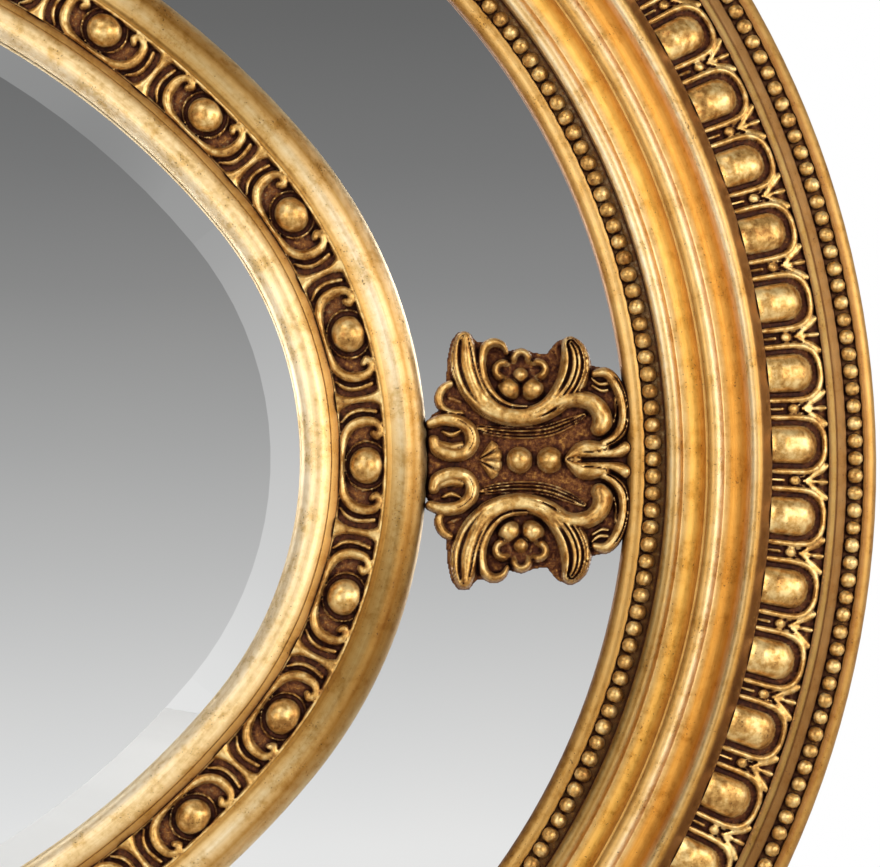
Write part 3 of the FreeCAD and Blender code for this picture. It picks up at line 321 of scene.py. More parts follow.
def oval_coordinates(obj):
    """For each vertex its distance along the oval and its offset, both in mm."""
    places = positions(obj) / MM
    x = places[:, 0]
    z = places[:, 2]
    along = np.zeros(len(x))
    offset = np.zeros(len(x))
    done = np.zeros(len(x), bool)
    run = 0.0
    for centre_x, centre_z, radius, start, sweep in ARCS:
        turn = (np.arctan2(z - centre_z, x - centre_x) - start + 1e-4) % (2 * math.pi)
        here = (turn <= sweep + 2e-4) & ~done
        if radius > END_RADIUS:
            here &= np.hypot(x - centre_x, z - centre_z) > radius - 40
        along[here] = run + turn[here] * radius
        offset[here] = np.hypot(x - centre_x, z - centre_z)[here] - radius
        done |= here
        run += sweep * radius
    return along, offset


def map_along(obj):
    """A UV map in metres: U along the oval and V across the moulding."""
    along, offset = oval_coordinates(obj)
    heights = positions(obj)[:, 1] / MM
    layer = obj.data.uv_layers.new(name="oval")
    loops = np.zeros(len(obj.data.loops), np.int32)
    obj.data.loops.foreach_get("vertex_index", loops)
    across = offset - 0.5 * heights
    pairs = np.stack([along[loops], across[loops]], axis=1) * MM
    layer.data.foreach_set("uv", pairs.astype(np.float32).ravel())
    return along, offset


# ---------------------------------------------------------------- materials

def colour(code):
    """A linear colour from an sRGB hex value."""
    channels = [int(code[i:i + 2], 16) / 255 for i in (1, 3, 5)]
    return tuple(c / 12.92 if c <= 0.04045 else ((c + 0.055) / 1.055) ** 2.4 for c in channels) + (1.0,)


def add_node(tree, kind, settings=None, inputs=None, stops=()):
    """Add a shader node with its settings, its inputs as values or as links from (node, output), and
    the stops of a colour ramp as (position, hex colour)."""
    node = tree.nodes.new("ShaderNode" + kind)
    for name, setting in (settings or {}).items():
        setattr(node, name, setting)
    for name, source in (inputs or {}).items():
        if isinstance(source, tuple) and isinstance(source[0], bpy.types.Node):
            tree.links.new(source[0].outputs[source[1]], node.inputs[name])
        else:
            node.inputs[name].default_value = source
    if stops:
        elements = node.color_ramp.elements
        while len(elements) < len(stops):
            elements.new(1.0)
        for element, (place, tone) in zip(elements, stops):
            element.position = place
            element.color = colour(tone)
    return node


def new_material(name):
    material = bpy.data.materials.new(name)
    material.use_nodes = True
    tree = material.node_tree
    tree.nodes.clear()
    return material, tree


def gold_leaf(name, tones, patch, wax_and_shade_reach, wax_and_shade_strength, roughness, dent, striped=False):
    """Leaf over red bole, rubbed on its crests, with dark brown wax and painted shade left in its recesses.

    The eye sees pale crests, worn and on the mouldings also painted highlight, deeper gold on slopes as
    painted shade, and reddish brown wax in every corner, painted darker where the corner is deepest.
    Patch is the size in mm of the leaf's uneven tones, and dent the depth of its small dents."""
    material, tree = new_material(name)
    place = add_node(tree, "TexCoord")
    pale, middle, deep = tones

    # Noises by size in mm, detail and roughness
    sizes = [(patch, 5.0, 0.6), (2.4, 4.0, 0.65), (0.7, 3.0, 0.65), (1.4, 4.0, 0.7), (0.9, 1.0, 0.6)]
    blotch, mottle, grain, ragged, speck = [
        add_node(tree, "TexNoise", inputs={
            "Vector": (place, "Object"), "Scale": 1 / (size * MM), "Detail": detail, "Roughness": rough})
        for size, detail, rough in sizes]

    # The leaf, uneven in its tones
    mixed = add_node(tree, "Math", {"operation": "MULTIPLY_ADD"}, {
        0: (mottle, "Fac"), 1: 0.7, 2: (blotch, "Fac")})
    spread = add_node(tree, "MapRange", inputs={
        "Value": (mixed, 0), "From Min": 0.35, "From Max": 1.35})
    leaf = add_node(tree, "ValToRGB", inputs={"Fac": (spread, "Result")},
                    stops=[(0.30, deep), (0.48, middle), (0.66, pale)])
    gold = (leaf, "Color")
    if striped:
        # The leaf attribute brings in the moulding's tones: painted highlights on the ridges, painted warm
        # reflections in the coves, painted shade on faces that turn away
        leaf_and_light = add_node(tree, "Attribute", {"attribute_name": "leaf"})
        mapped = add_node(tree, "UVMap", {"uv_map": "oval"})
        stretch = add_node(tree, "Mapping", inputs={
            "Vector": (mapped, "UV"), "Scale": (26.0, 900.0, 1.0)})
        strokes = add_node(tree, "TexNoise", inputs={
            "Vector": (stretch, "Vector"), "Scale": 1.0, "Detail": 5.0, "Roughness": 0.7})
        brushed = add_node(tree, "ValToRGB", inputs={"Fac": (strokes, "Fac")},
                           stops=[(0.32, "#CDB48C"), (0.48, "#F6EFE0"), (0.60, "#FFFFFF")])
        for share, layer in ((1.0, (leaf_and_light, "Color")), (0.35, (brushed, "Color"))):
            toned = add_node(tree, "Mix", {"data_type": "RGBA", "blend_type": "MULTIPLY"}, {
                "Factor": share, "A": gold, "B": layer})
            gold = (toned, "Result")

    # The wax and painted shade: wax in the hollows and where it was never rubbed off, with painted shade in
    # corners from the occlusion
    shade = add_node(tree, "AmbientOcclusion", {"samples": 8}, {"Distance": wax_and_shade_reach * MM})
    hollow = add_node(tree, "MapRange", inputs={
        "Value": (shade, "AO"), "From Min": 0.88, "From Max": 0.52, "To Max": wax_and_shade_strength})
    wax_and_shade_attribute = add_node(tree, "Attribute", {"attribute_name": "wax_and_shade"})
    amount = add_node(tree, "Math", {"operation": "ADD"}, {
        0: (hollow, "Result"), 1: (wax_and_shade_attribute, "Fac")})
    torn = add_node(tree, "Math", {"operation": "MULTIPLY_ADD"}, {
        0: (ragged, "Fac"), 1: 1.1, 2: (amount, 0)})
    wax_and_shade_cover = add_node(tree, "MapRange", inputs={
        "Value": (torn, 0), "From Min": 0.84, "From Max": 1.26})
    # Painted shade: the wax colour goes darker where the occlusion is deeper
    lit = add_node(tree, "Math", {"operation": "MULTIPLY_ADD"}, {
        0: (shade, "AO"), 1: 0.75, 2: (ragged, "Fac")})
    depth = add_node(tree, "MapRange", inputs={
        "Value": (lit, 0), "From Min": 0.52, "From Max": 1.52})
    wax_and_shade = add_node(tree, "ValToRGB", inputs={"Fac": (depth, "Result")},
                   stops=[(0.20, "#210E07"), (0.46, "#3B1A0C"), (0.62, "#552B15"), (0.78, "#7E5026"),
                          (0.92, "#B8873F")])
    painted = add_node(tree, "Mix", {"data_type": "RGBA"}, {
        "Factor": (wax_and_shade_cover, "Result"), "A": gold, "B": (wax_and_shade, "Color")})

    # Small dark pits, most of them where the leaf is dark
    spots = add_node(tree, "Math", {"operation": "MULTIPLY_ADD"}, {
        0: (blotch, "Fac"), 1: -0.45, 2: (speck, "Fac")})
    pits = add_node(tree, "MapRange", inputs={
        "Value": (spots, 0), "From Min": 0.485, "From Max": 0.535, "To Max": 0.7})
    pitted = add_node(tree, "Mix", {"data_type": "RGBA"}, {
        "Factor": (pits, "Result"), "A": (painted, "Result"), "B": colour("#3D2315")})

    # Wax is rougher and duller than leaf
    rough = add_node(tree, "MapRange", inputs={
        "Value": (mottle, "Fac"), "From Min": 0.3, "From Max": 0.7,
        "To Min": roughness[0], "To Max": roughness[1]})
    rough_all = add_node(tree, "Mix", {"data_type": "FLOAT"}, {
        "Factor": (wax_and_shade_cover, "Result"), "A": (rough, "Result"), "B": 0.62})
    metal, gloss = [
        add_node(tree, "MapRange", inputs={"Value": (wax_and_shade_cover, "Result"), "To Min": on_leaf, "To Max": on_wax})
        for on_leaf, on_wax in ((0.88, 0.10), (0.50, 0.12))]
    dents = add_node(tree, "Bump", inputs={
        "Height": (mottle, "Fac"), "Distance": dent * MM, "Strength": 0.5})
    last = add_node(tree, "Bump", inputs={
        "Height": (grain, "Fac"), "Distance": 0.12 * MM, "Strength": 0.35, "Normal": (dents, "Normal")})
    if striped:
        last = add_node(tree, "Bump", inputs={
            "Height": (strokes, "Fac"), "Distance": 0.14 * MM, "Strength": 0.4, "Normal": (last, "Normal")})
    shader = add_node(tree, "BsdfPrincipled", inputs={
        "Base Color": (pitted, "Result"), "Roughness": (rough_all, "Result"),
        "Metallic": (metal, "Result"), "Specular IOR Level": (gloss, "Result"),
        "Normal": (last, "Normal")})
    add_node(tree, "OutputMaterial", inputs={"Surface": (shader, "BSDF")})
    return material


def silvered_glass():
    """Float glass silvered behind: a clean reflection with hardly any tint."""
    material, tree = new_material("silvered_float_glass")
    place = add_node(tree, "TexCoord")
    haze = add_node(tree, "TexNoise", inputs={
        "Vector": (place, "Object"), "Scale": 9.0, "Detail": 2.0})
    tint = add_node(tree, "ValToRGB", inputs={"Fac": (haze, "Fac")},
                    stops=[(0.3, "#F1F2F2"), (0.7, "#F4F4F3")])
    polish = add_node(tree, "MapRange", inputs={
        "Value": (haze, "Fac"), "To Min": 0.004, "To Max": 0.012})
    shader = add_node(tree, "BsdfPrincipled", inputs={
        "Base Color": (tint, "Color"), "Metallic": 1.0, "Roughness": (polish, "Result")})
    add_node(tree, "OutputMaterial", inputs={"Surface": (shader, "BSDF")})
    return material


def sawn_wood(name, tones, grain_axis, plank):
    """Sawn timber: pale and dark growth lines a few millimetres apart, dry and matt.

    Plank is the width in metres after which the next plank starts, cut from another log."""
    material, tree = new_material(name)
    place = add_node(tree, "TexCoord")
    parts = add_node(tree, "SeparateXYZ", inputs={"Vector": (place, "Object")})
    share = add_node(tree, "Math", {"operation": "MULTIPLY_ADD"}, {
        0: (parts, "X"), 1: 1 / plank, 2: 0.5})
    number = add_node(tree, "Math", {"operation": "FLOOR"}, {0: (share, 0)})
    chance = add_node(tree, "TexWhiteNoise", {"noise_dimensions": "1D"}, {"W": (number, 0)})
    scale = [150.0, 150.0, 150.0]
    scale[grain_axis] = 4.0
    stretch = add_node(tree, "Mapping", inputs={
        "Vector": (place, "Object"), "Location": (chance, "Color"), "Scale": tuple(scale)})
    apart = add_node(tree, "VectorMath", {"operation": "MULTIPLY_ADD"}, {
        0: (chance, "Color"), 1: (40.0, 40.0, 40.0), 2: (stretch, "Vector")})
    growth = add_node(tree, "TexNoise", inputs={
        "Vector": (apart, "Vector"), "Scale": 1.0, "Detail": 6.0, "Roughness": 0.6, "Distortion": 1.2})
    wood = add_node(tree, "ValToRGB", inputs={"Fac": (growth, "Fac")},
                    stops=list(zip((0.32, 0.5, 0.68), tones)))
    broad = add_node(tree, "TexNoise", inputs={
        "Vector": (apart, "Vector"), "Scale": 0.12, "Detail": 2.0, "Distortion": 1.0})
    dimness = add_node(tree, "Math", {"operation": "MULTIPLY_ADD"}, {
        0: (broad, "Fac"), 1: 0.9, 2: (chance, "Value")})
    toned = add_node(tree, "MapRange", inputs={
        "Value": (dimness, 0), "From Min": 0.3, "From Max": 1.5, "To Min": 0.74, "To Max": 1.0})
    timber = add_node(tree, "Mix", {"data_type": "RGBA", "blend_type": "MULTIPLY"}, {
        "Factor": 1.0, "A": (wood, "Color"), "B": (toned, "Result")})
    fibre = add_node(tree, "Bump", inputs={
        "Height": (growth, "Fac"), "Distance": 0.3 * MM, "Strength": 0.4})
    shader = add_node(tree, "BsdfPrincipled", inputs={
        "Base Color": (timber, "Result"), "Roughness": 0.78, "Normal": (fibre, "Normal")})
    add_node(tree, "OutputMaterial", inputs={"Surface": (shader, "BSDF")})
    return material


def plated_steel(name, tones, roughness):
    """Nickel plated or plain steel, with fine drawing marks and small dull patches."""
    material, tree = new_material(name)
    place = add_node(tree, "TexCoord")
    patches = add_node(tree, "TexNoise", inputs={
        "Vector": (place, "Object"), "Scale": 300.0, "Detail": 4.0})
    metal = add_node(tree, "ValToRGB", inputs={"Fac": (patches, "Fac")},
                     stops=list(zip((0.35, 0.65), tones)))
    dull = add_node(tree, "MapRange", inputs={
        "Value": (patches, "Fac"), "To Min": roughness[0], "To Max": roughness[1]})
    marks = add_node(tree, "Bump", inputs={
        "Height": (patches, "Fac"), "Distance": 0.05 * MM, "Strength": 0.3})
    shader = add_node(tree, "BsdfPrincipled", inputs={
        "Base Color": (metal, "Color"), "Metallic": 1.0, "Roughness": (dull, "Result"),
        "Normal": (marks, "Normal")})
    add_node(tree, "OutputMaterial", inputs={"Surface": (shader, "BSDF")})
    return material


def matt_material(name, tones, scale, roughness, bump):
    """A matt surface with a fine mottle: card or moulded rubber."""
    material, tree = new_material(name)
    place = add_node(tree, "TexCoord")
    mottle = add_node(tree, "TexNoise", inputs={
        "Vector": (place, "Object"), "Scale": scale, "Detail": 5.0})
    body = add_node(tree, "ValToRGB", inputs={"Fac": (mottle, "Fac")},
                    stops=list(zip((0.35, 0.65), tones)))
    rough = add_node(tree, "Bump", inputs={
        "Height": (mottle, "Fac"), "Distance": bump * MM, "Strength": 0.5})
    shader = add_node(tree, "BsdfPrincipled", inputs={
        "Base Color": (body, "Color"), "Roughness": roughness, "Normal": (rough, "Normal")})
    add_node(tree, "OutputMaterial", inputs={"Surface": (shader, "BSDF")})
    return material


MOULDING_GOLD = gold_leaf("burnished_gold_leaf", ("#FFFFFF", "#F6EFE2", "#DCCAA4"), patch=12.0,
                          wax_and_shade_reach=1.6, wax_and_shade_strength=0.8, roughness=(0.38, 0.54), dent=0.10, striped=True)
CARVED_GOLD = gold_leaf("waxed_and_shaded_gold_leaf", ("#EBCB8A", "#CB9D57", "#976833"), patch=7.0,
                        wax_and_shade_reach=2.4, wax_and_shade_strength=0.95, roughness=(0.32, 0.48), dent=0.22)
MIRROR = silvered_glass()
BOARD = sawn_wood("sawn_pine_board", ("#8F683F", "#B48A58", "#CFA972"), 2, 0.3666)
BLOCK = sawn_wood("sawn_pine_block", ("#A17C50", "#BC9664", "#CFAE7E"), 0, 0.11)
DOWEL = sawn_wood("turned_beech", ("#B08860", "#C29B72", "#D0AD86"), 0, 0.05)
NICKEL = plated_steel("nickel_plated_steel", ("#B9B5AC", "#D2CEC4"), (0.24, 0.42))
SCREW_STEEL = plated_steel("dulled_screw_steel", ("#77726A", "#98938A"), (0.38, 0.6))
CARD = matt_material("grey_backing_card", ("#877A68", "#998C78"), 600.0, 0.92, 0.1)
RUBBER = matt_material("moulded_rubber", ("#1B1917", "#2A2724"), 900.0, 0.7, 0.08)


def dress(obj, material):
    obj.data.materials.clear()
    obj.data.materials.append(material)


# ---------------------------------------------------------------- the two frames

def stand_for(obj, prefix):
    """A dressed piece takes the place of every node of that name, but not of its dowels and screws."""
    names = [name for name in nodes
             if name.startswith(prefix) and not name.endswith(("dowels", "screws"))]
    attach(obj, "mirror")
    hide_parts(*names)


OUTER_SECTION = [
    (150.8, 0.0, 0), (150.8, 10.0, 0), (140.8, 10.0, 0), (140.8, 22.0, 0), (130.8, 22.0, 0),
    (130.8, 26.0, 1.6), (137.6, 30.0, 0), (137.6, 27.4, 0), (146.4, 27.4, 0),
    (146.4, 34.2, 2.2), (152.8, 34.2, -3.0), (161.2, 43.6, 0), (162.2, 43.6, 0),
    (162.2, 44.6, 1.8), (168.6, 44.6, -2.8), (178.2, 54.0, 0), (178.2, 55.0, 2.0),
    (183.6, 55.0, 0), (187.2, 48.0, 0), (187.2, 43.6, 0), (210.6, 34.6, 0), (210.6, 38.2, 0),
    (213.4, 37.6, 0), (213.8, 37.1, 0), (214.2, 37.4, 0), (217.8, 36.6, 0), (217.8, 33.0, 0),
    (224.6, 33.0, 0), (224.6, 35.2, 0), (226.2, 35.2, 1.4), (230.2, 29.0, 0), (230.2, 20.0, 0),
    (225.2, 12.0, 0), (225.2, 0.0, 0),
]
INNER_SECTION = [
    (8.0, 10.0, 0), (8.0, 26.0, 0), (0.0, 26.0, 0), (0.0, 28.0, 3.6), (12.2, 32.6, 0),
    (12.2, 31.4, 0), (15.6, 30.6, 0), (15.6, 27.4, 0), (34.2, 27.4, 0), (34.2, 32.8, 0),
    (35.2, 32.8, 0), (36.4, 32.0, 4.2), (50.4, 25.0, 0), (50.4, 22.0, 0), (42.4, 22.0, 0),
    (42.4, 10.0, 0),
]
# The leaf's tones with painted light: painted highlights in pale and cream on the ridges and rolls, painted
# warm reflections in amber and orange in the coves, painted shade in umber on faces that turn away, toned
# brown at the outside
LEAF_AND_LIGHT_TONES = {"pale": "#FAEACB", "cream": "#F3D8A6", "straw": "#E8C384", "amber": "#F4BE5E", "orange": "#E2A44C",
        "gold": "#CFA35E", "olive": "#A0824E", "umber": "#9C6E3C", "brown": "#7A5230"}
# Which tone lies where across the mouldings, as (offset, tone)
INNER_TONES = [(-1.0, "cream"), (0.5, "pale"), (2.5, "pale"), (6.0, "cream"), (8.0, "cream"), (10.5, "cream"),
               (12.2, "gold"), (15.5, "umber"), (34.2, "gold"), (34.8, "gold"), (36.2, "straw"),
               (37.4, "cream"), (38.8, "pale"), (41.2, "pale"), (43.4, "straw"), (45.4, "gold"),
               (47.4, "cream"), (50.4, "pale")]
OUTER_TONES = [(130.8, "umber"), (132.6, "gold"), (134.4, "straw"), (136.6, "gold"), (146.4, "cream"),
               (147.6, "pale"), (149.4, "straw"), (151.2, "pale"), (152.6, "cream"), (154.4, "straw"),
               (156.0, "amber"), (159.4, "amber"), (161.6, "gold"), (163.8, "gold"), (165.2, "straw"),
               (167.4, "pale"), (169.0, "straw"), (171.0, "orange"), (173.0, "orange"), (177.0, "orange"),
               (178.4, "pale"), (180.6, "straw"), (182.0, "gold"), (183.4, "umber"), (186.0, "umber"),
               (210.6, "olive"), (213.4, "olive"), (214.0, "brown"), (215.2, "olive"), (216.4, "olive"),
               (217.8, "brown"), (224.6, "umber"), (226.0, "umber"), (227.6, "gold"), (230.2, "gold")]
# Channels painted dark brown, wax that was never rubbed off and painted shade in the recess, as (first
# offset, last offset, amount)
WAX_AND_SHADE = [(137.9, 146.5, 0.62), (186.6, 187.4, 0.5), (210.4, 211.2, 0.6), (217.7, 224.7, 0.62),
         (12.1, 12.5, 0.4), (226.1, 226.5, 0.4)]


def tone_across(along, offset):
    """The linear colour at each place: the leaf's tone with painted highlights, warm reflections and shade by
    offset, and drifting slowly round the oval.
    """
    result = np.ones((len(offset), 4))
    stops = INNER_TONES + OUTER_TONES
    places = [place for place, _ in stops]
    turn = 2 * math.pi * (along - arc_lengths(0)[0] / 2) / oval_length(0)
    drift = np.clip(0.85 * np.sin(10 * turn) + 0.35 * np.sin(4 * turn), -1, 1)
    strength = np.interp(offset, [12.0, 36.0, 50.0, 131.0, 147.0, 150.0, 157.0, 166.0, 173.0, 181.0, 228.0],
                         [0.02, 0.70, 0.62, 0.20, 0.68, 0.62, 0.06, 0.04, 0.14, 0.38, 0.20])
    kept = 1 - strength * (1 - drift) / 2
    for channel, power in enumerate((1.0, 1.25, 1.9)):
        shades = [colour(LEAF_AND_LIGHT_TONES[tone])[channel] for _, tone in stops]
        result[:, channel] = np.interp(offset, places, shades) * kept ** power
    return result


def make_frames():
    for name, section in (("outer_moulding", OUTER_SECTION), ("inner_moulding", INNER_SECTION)):
        moulding = swept(name, eased(crowned(section)))
        along, offset = map_along(moulding)
        # The leaf attribute carries the tones by offset, with painted highlights, warm reflections and shade
        # among them
        write_attribute(moulding, "leaf", tone_across(along, offset), "FLOAT_COLOR", "color")
        wax_and_shade = np.zeros(len(offset))
        for first, last, amount in WAX_AND_SHADE:
            wax_and_shade = np.where((offset > first) & (offset < last), amount, wax_and_shade)
        write_attribute(moulding, "wax_and_shade", wax_and_shade)
        smooth(moulding)
        dress(moulding, MOULDING_GOLD)
        stand_for(moulding, name.replace("moulding", "frame"))


# ---------------------------------------------------------------- relief carved on a fine grid

def smooth_path(points, steps=6):
    """More points along a smooth curve through a few. A point is (x, y, half width)."""
    points = [np.array(p, float) for p in points]
    path = []
    for index in range(len(points) - 1):
        p0 = points[max(index - 1, 0)]
        p1 = points[index]
        p2 = points[index + 1]
        p3 = points[min(index + 2, len(points) - 1)]
        for step in range(steps):
            t = step / steps
            path.append(0.5 * (2 * p1 + (p2 - p0) * t + (2 * p0 - 5 * p1 + 4 * p2 - p3) * t * t
                               + (3 * p1 - p0 - 3 * p2 + p3) * t ** 3))
    path.append(points[-1])
    return path


def ribbon(x, y, points, steps=6):
    """Where each place lies on a ribbon: how far across (1 at its edges, positive on its left), how far
    along from 0 to 1."""
    path = smooth_path(points, steps)
    across = np.full(x.shape, 9.0)
    along = np.zeros(x.shape)
    for number, (start, end) in enumerate(zip(path, path[1:])):
        run = end[:2] - start[:2]
        length = max(float(run @ run), 1e-9)
        t = np.clip(((x - start[0]) * run[0] + (y - start[1]) * run[1]) / length, 0, 1)
        away_x = x - start[0] - t * run[0]
        away_y = y - start[1] - t * run[1]
        half = start[2] + (end[2] - start[2]) * t
        share = np.hypot(away_x, away_y) / half
        side = np.where(run[0] * away_y - run[1] * away_x >= 0, 1.0, -1.0)
        nearer = share < np.abs(across)
        across = np.where(nearer, share * side, across)
        along = np.where(nearer, (number + t) / (len(path) - 1), along)
    return across, along


def roll(x, y, points, top, foot=0.0, steps=6, grooves=(), edge=2.0):
    """Height of a rounded ribbon. A groove is (across, half width, depth, first, last) with its start and
    end as shares of the ribbon's length."""
    across, along = ribbon(x, y, points, steps)
    height = foot + (top - foot) * np.sqrt(np.clip(1 - np.abs(across) ** edge, 0, 1))
    for place, half, depth, first, last in grooves:
        fade = rises(along, first - 0.06, first + 0.06) * (1 - rises(along, last - 0.06, last + 0.06))
        height = height - depth * fade * np.exp(-((across - place) / half) ** 2)
    return np.where(np.abs(across) < 1, height, NOWHERE)


def dome(x, y, centre_x, centre_y, radius, top, foot=0.0, stretch=1.0):
    away = np.hypot(x - centre_x, (y - centre_y) / stretch) / radius
    return np.where(away < 1, foot + (top - foot) * np.sqrt(np.clip(1 - away ** 2, 0, 1)), NOWHERE)


def highest(*heights):
    return np.maximum.reduce(heights)


def rises(value, low, high):
    """0 below one value, 1 above the other, smooth between."""
    t = np.clip((value - low) / (high - low), 0, 1)
    return t * t * (3 - 2 * t)


def egg_relief(offset, along):
    """Egg, its rim, and the dart between two eggs. Along is counted from an egg's middle."""
    across = offset - EGG_BAND_START
    mirror = np.abs(along)
    half = EGG_PITCH / 2
    egg_nose = 10.8
    reach = np.hypot(np.maximum(across - egg_nose, 0), mirror)
    crown = 4.4 + 2.4 * rises(across, 0, 7)
    egg = np.where(reach < 7.7, crown * np.sqrt(np.clip(1 - (reach / 7.75) ** 2.4, 0, 1)), NOWHERE)
    rim_path = [(-1.0, 10.9, 1.25), (6.0, 10.9, 1.3), (12.0, 10.8, 1.35), (16.6, 10.0, 1.4),
                (20.0, 7.4, 1.4), (21.6, 3.8, 1.35), (21.9, 0.0, 1.3)]
    rim = roll(across, mirror, rim_path, 3.2, 0.2)
    gap = half - mirror
    bar = roll(across, gap, [(-1.0, 0.0, 0.95), (4.8, 0.0, 0.9)], 2.2, 0.2, 1)
    bead = dome(across, gap, 9.4, 0.0, 2.5, 3.2)
    heart = roll(across, gap, [(13.0, 0.0, 0.8), (15.6, 0.0, 1.5), (18.0, 0.0, 0.8)], 2.2, 0.2, 3)
    blade = roll(across, gap, [(17.6, 0.0, 0.7), (20.2, 0.0, 1.2), (23.0, 0.0, 1.0)], 2.2, 0.2, 3)
    lobe = roll(across, gap, [(14.4, 0.8, 0.8), (18.0, 3.0, 1.4), (22.6, 6.2, 1.5)], 2.4, 0.2, 3)
    sprig = roll(across, gap, [(11.6, 1.6, 0.4), (13.6, 2.0, 0.6)], 1.6, 0.2, 1)
    return highest(np.zeros(across.shape), egg, rim, bar, bead, heart, blade, lobe, sprig)


def ball_relief(offset, along):
    """Ball in its thin ring, the scroll on each side of it, and the forked leaf between two balls."""
    across = offset - BALL_OFFSET
    mirror = np.abs(along)
    half = BALL_PITCH / 2
    ball = dome(across, along, 0.2, 0.0, 7.1, 6.8, stretch=1.07)
    reach = np.hypot((across - 0.3) / 8.7, along / 9.7)
    ring = np.where((np.abs(reach - 1) < 0.06) & (across < 6.6),
                    2.0 * np.sqrt(np.clip(1 - ((reach - 1) / 0.06) ** 2, 0, 1)), NOWHERE)
    scroll_path = [(-9.6, 0.0, 1.0), (-9.3, 6.0, 1.3), (-8.4, 12.0, 1.9), (-5.2, 16.4, 2.3),
                   (-0.1, 17.9, 2.3), (4.6, 16.8, 2.1), (6.4, 13.8, 2.0), (4.8, 11.8, 2.0), (3.4, 12.8, 1.6)]
    scroll = roll(across, mirror, scroll_path, 3.8, 0.0)
    vein = roll(across, mirror, [(-9.0, 18.2, 0.7), (-5.8, 21.2, 1.0), (-1.3, 22.3, 1.0), (5.0, 21.2, 1.0)],
                2.6, 0.2)
    away = half - mirror
    neck = 1.1 + 4.8 * np.exp(-(across + 10.8) / 2.8) + 4.6 * np.exp((across - 8.2) / 2.2)
    fork = np.where(away < neck, 3.4 * np.sqrt(np.clip(1 - (away / neck) ** 2.6, 0, 1)), NOWHERE)
    border = roll(across, mirror, [(-10.4, 0.0, 0.8), (-10.4, half, 0.8)], 1.8, 0.2, 1)
    edge = roll(across, mirror, [(7.9, 0.0, 1.3), (7.9, half, 1.3)], 3.6, 0.2, 1)
    return highest(np.zeros(across.shape), ball, ring, scroll, vein, fork, border, edge)


def uneven(x, y, size):
    """Smooth random numbers from -1 to 1 with a lump about every size mm, the same each run."""
    left = np.floor(x / size)
    low = np.floor(y / size)
    share_x = rises(x / size - left, 0, 1)
    share_y = rises(y / size - low, 0, 1)

    def corner(i, j):
        return np.modf(np.abs(np.sin(i * 12.9898 + j * 78.233)) * 43758.5453)[0] * 2 - 1

    bottom = corner(left, low) * (1 - share_x) + corner(left + 1, low) * share_x
    top = corner(left, low + 1) * (1 - share_x) + corner(left + 1, low + 1) * share_x
    return bottom * (1 - share_y) + top * share_y


def row_order(unit):
    """The order in which the points of a grid lie row by row, wherever they are in the list."""
    return np.lexsort((unit[:, 0], np.round(unit[:, 1], 5)))


def steepness(values, order, shape, step):
    """How steeply the values rise at each point of a grid."""
    rise_y, rise_x = np.gradient(values[order].reshape(shape), step)
    result = np.empty(len(values))
    result[order] = np.hypot(rise_x, rise_y).ravel()
    return result


def blurred(values, order, shape, reach):
    """Box blur of a grid's values, twice over."""
    grid = values[order].reshape(shape)
    for _ in range(2):
        for axis in (0, 1):
            total = np.zeros(shape)
            for shift in range(-reach, reach + 1):
                total += np.roll(grid, shift, axis)
            grid = total / (2 * reach + 1)
    result = np.empty(len(values))
    result[order] = grid.ravel()
    return result


def carved_band(name, arc, run, start, end, floor, relief, middle, pitch, phase, step):
    """One length of a carved course: a closed tube of faces whose front carries the relief."""
    columns = max(8, round(arc[4] * (arc[2] + middle) / step))
    rows = max(8, round((end - start) / step))
    deselect()
    bpy.ops.mesh.primitive_grid_add(x_subdivisions=columns, y_subdivisions=rows + 3, size=2)
    obj = new_piece(name)
    unit = positions(obj)
    turned = (unit[:, 0] + 1) / 2 * arc[4]
    # the first row and the last two lie underneath
    row = np.round((unit[:, 1] + 1) / 2 * (rows + 3))
    underside = (row == 0) | (row >= rows + 2)
    share = np.where(row == rows + 3, 0.0, np.clip((row - 1) / rows, 0, 1))
    offset = start + (end - start) * share
    total = oval_length(middle)
    true_pitch = total / round(total / pitch)
    along = run + turned * (arc[2] + middle)
    from_axis = along - arc_lengths(middle)[0] / 2 - phase * true_pitch
    local = (from_axis + true_pitch / 2) % true_pitch - true_pitch / 2
    lift = relief(offset, local * pitch / true_pitch)
    steep = steepness(lift, row_order(unit), (rows + 4, columns + 1), step)
    carved = rises(lift, 0.4, 1.2)
    lift = lift + carved * 0.10 * uneven(along, offset, 4.0)
    lift = lift + (1 - carved) * 0.30 * (1 + uneven(along, offset, 1.3))
    low, high = floor
    height = low + (high - low) * share + np.where(underside, -COURSE_SUNK, lift)
    angle = arc[3] + turned
    reach = arc[2] + offset
    place_vertices(obj, (arc[0] + reach * np.cos(angle)) * MM, (BACK_PLANE - height) * MM,
                   (arc[1] + reach * np.sin(angle)) * MM)
    # Dark brown on the low ground, wax left in the hollows, and on steep sides, painted shade
    wax_and_shade = np.maximum(0.75 - 0.75 * rises(lift, 0.7, 1.9), 0.42 * rises(steep, 1.0, 2.4))
    write_attribute(obj, "wax_and_shade", np.where(underside, 1.0, wax_and_shade))
    start_editing(obj)
    bpy.ops.mesh.remove_doubles(threshold=0.001 * MM)
    bpy.ops.mesh.fill_holes(sides=0)
    finish_editing()
    smooth(obj, 60)
    return obj


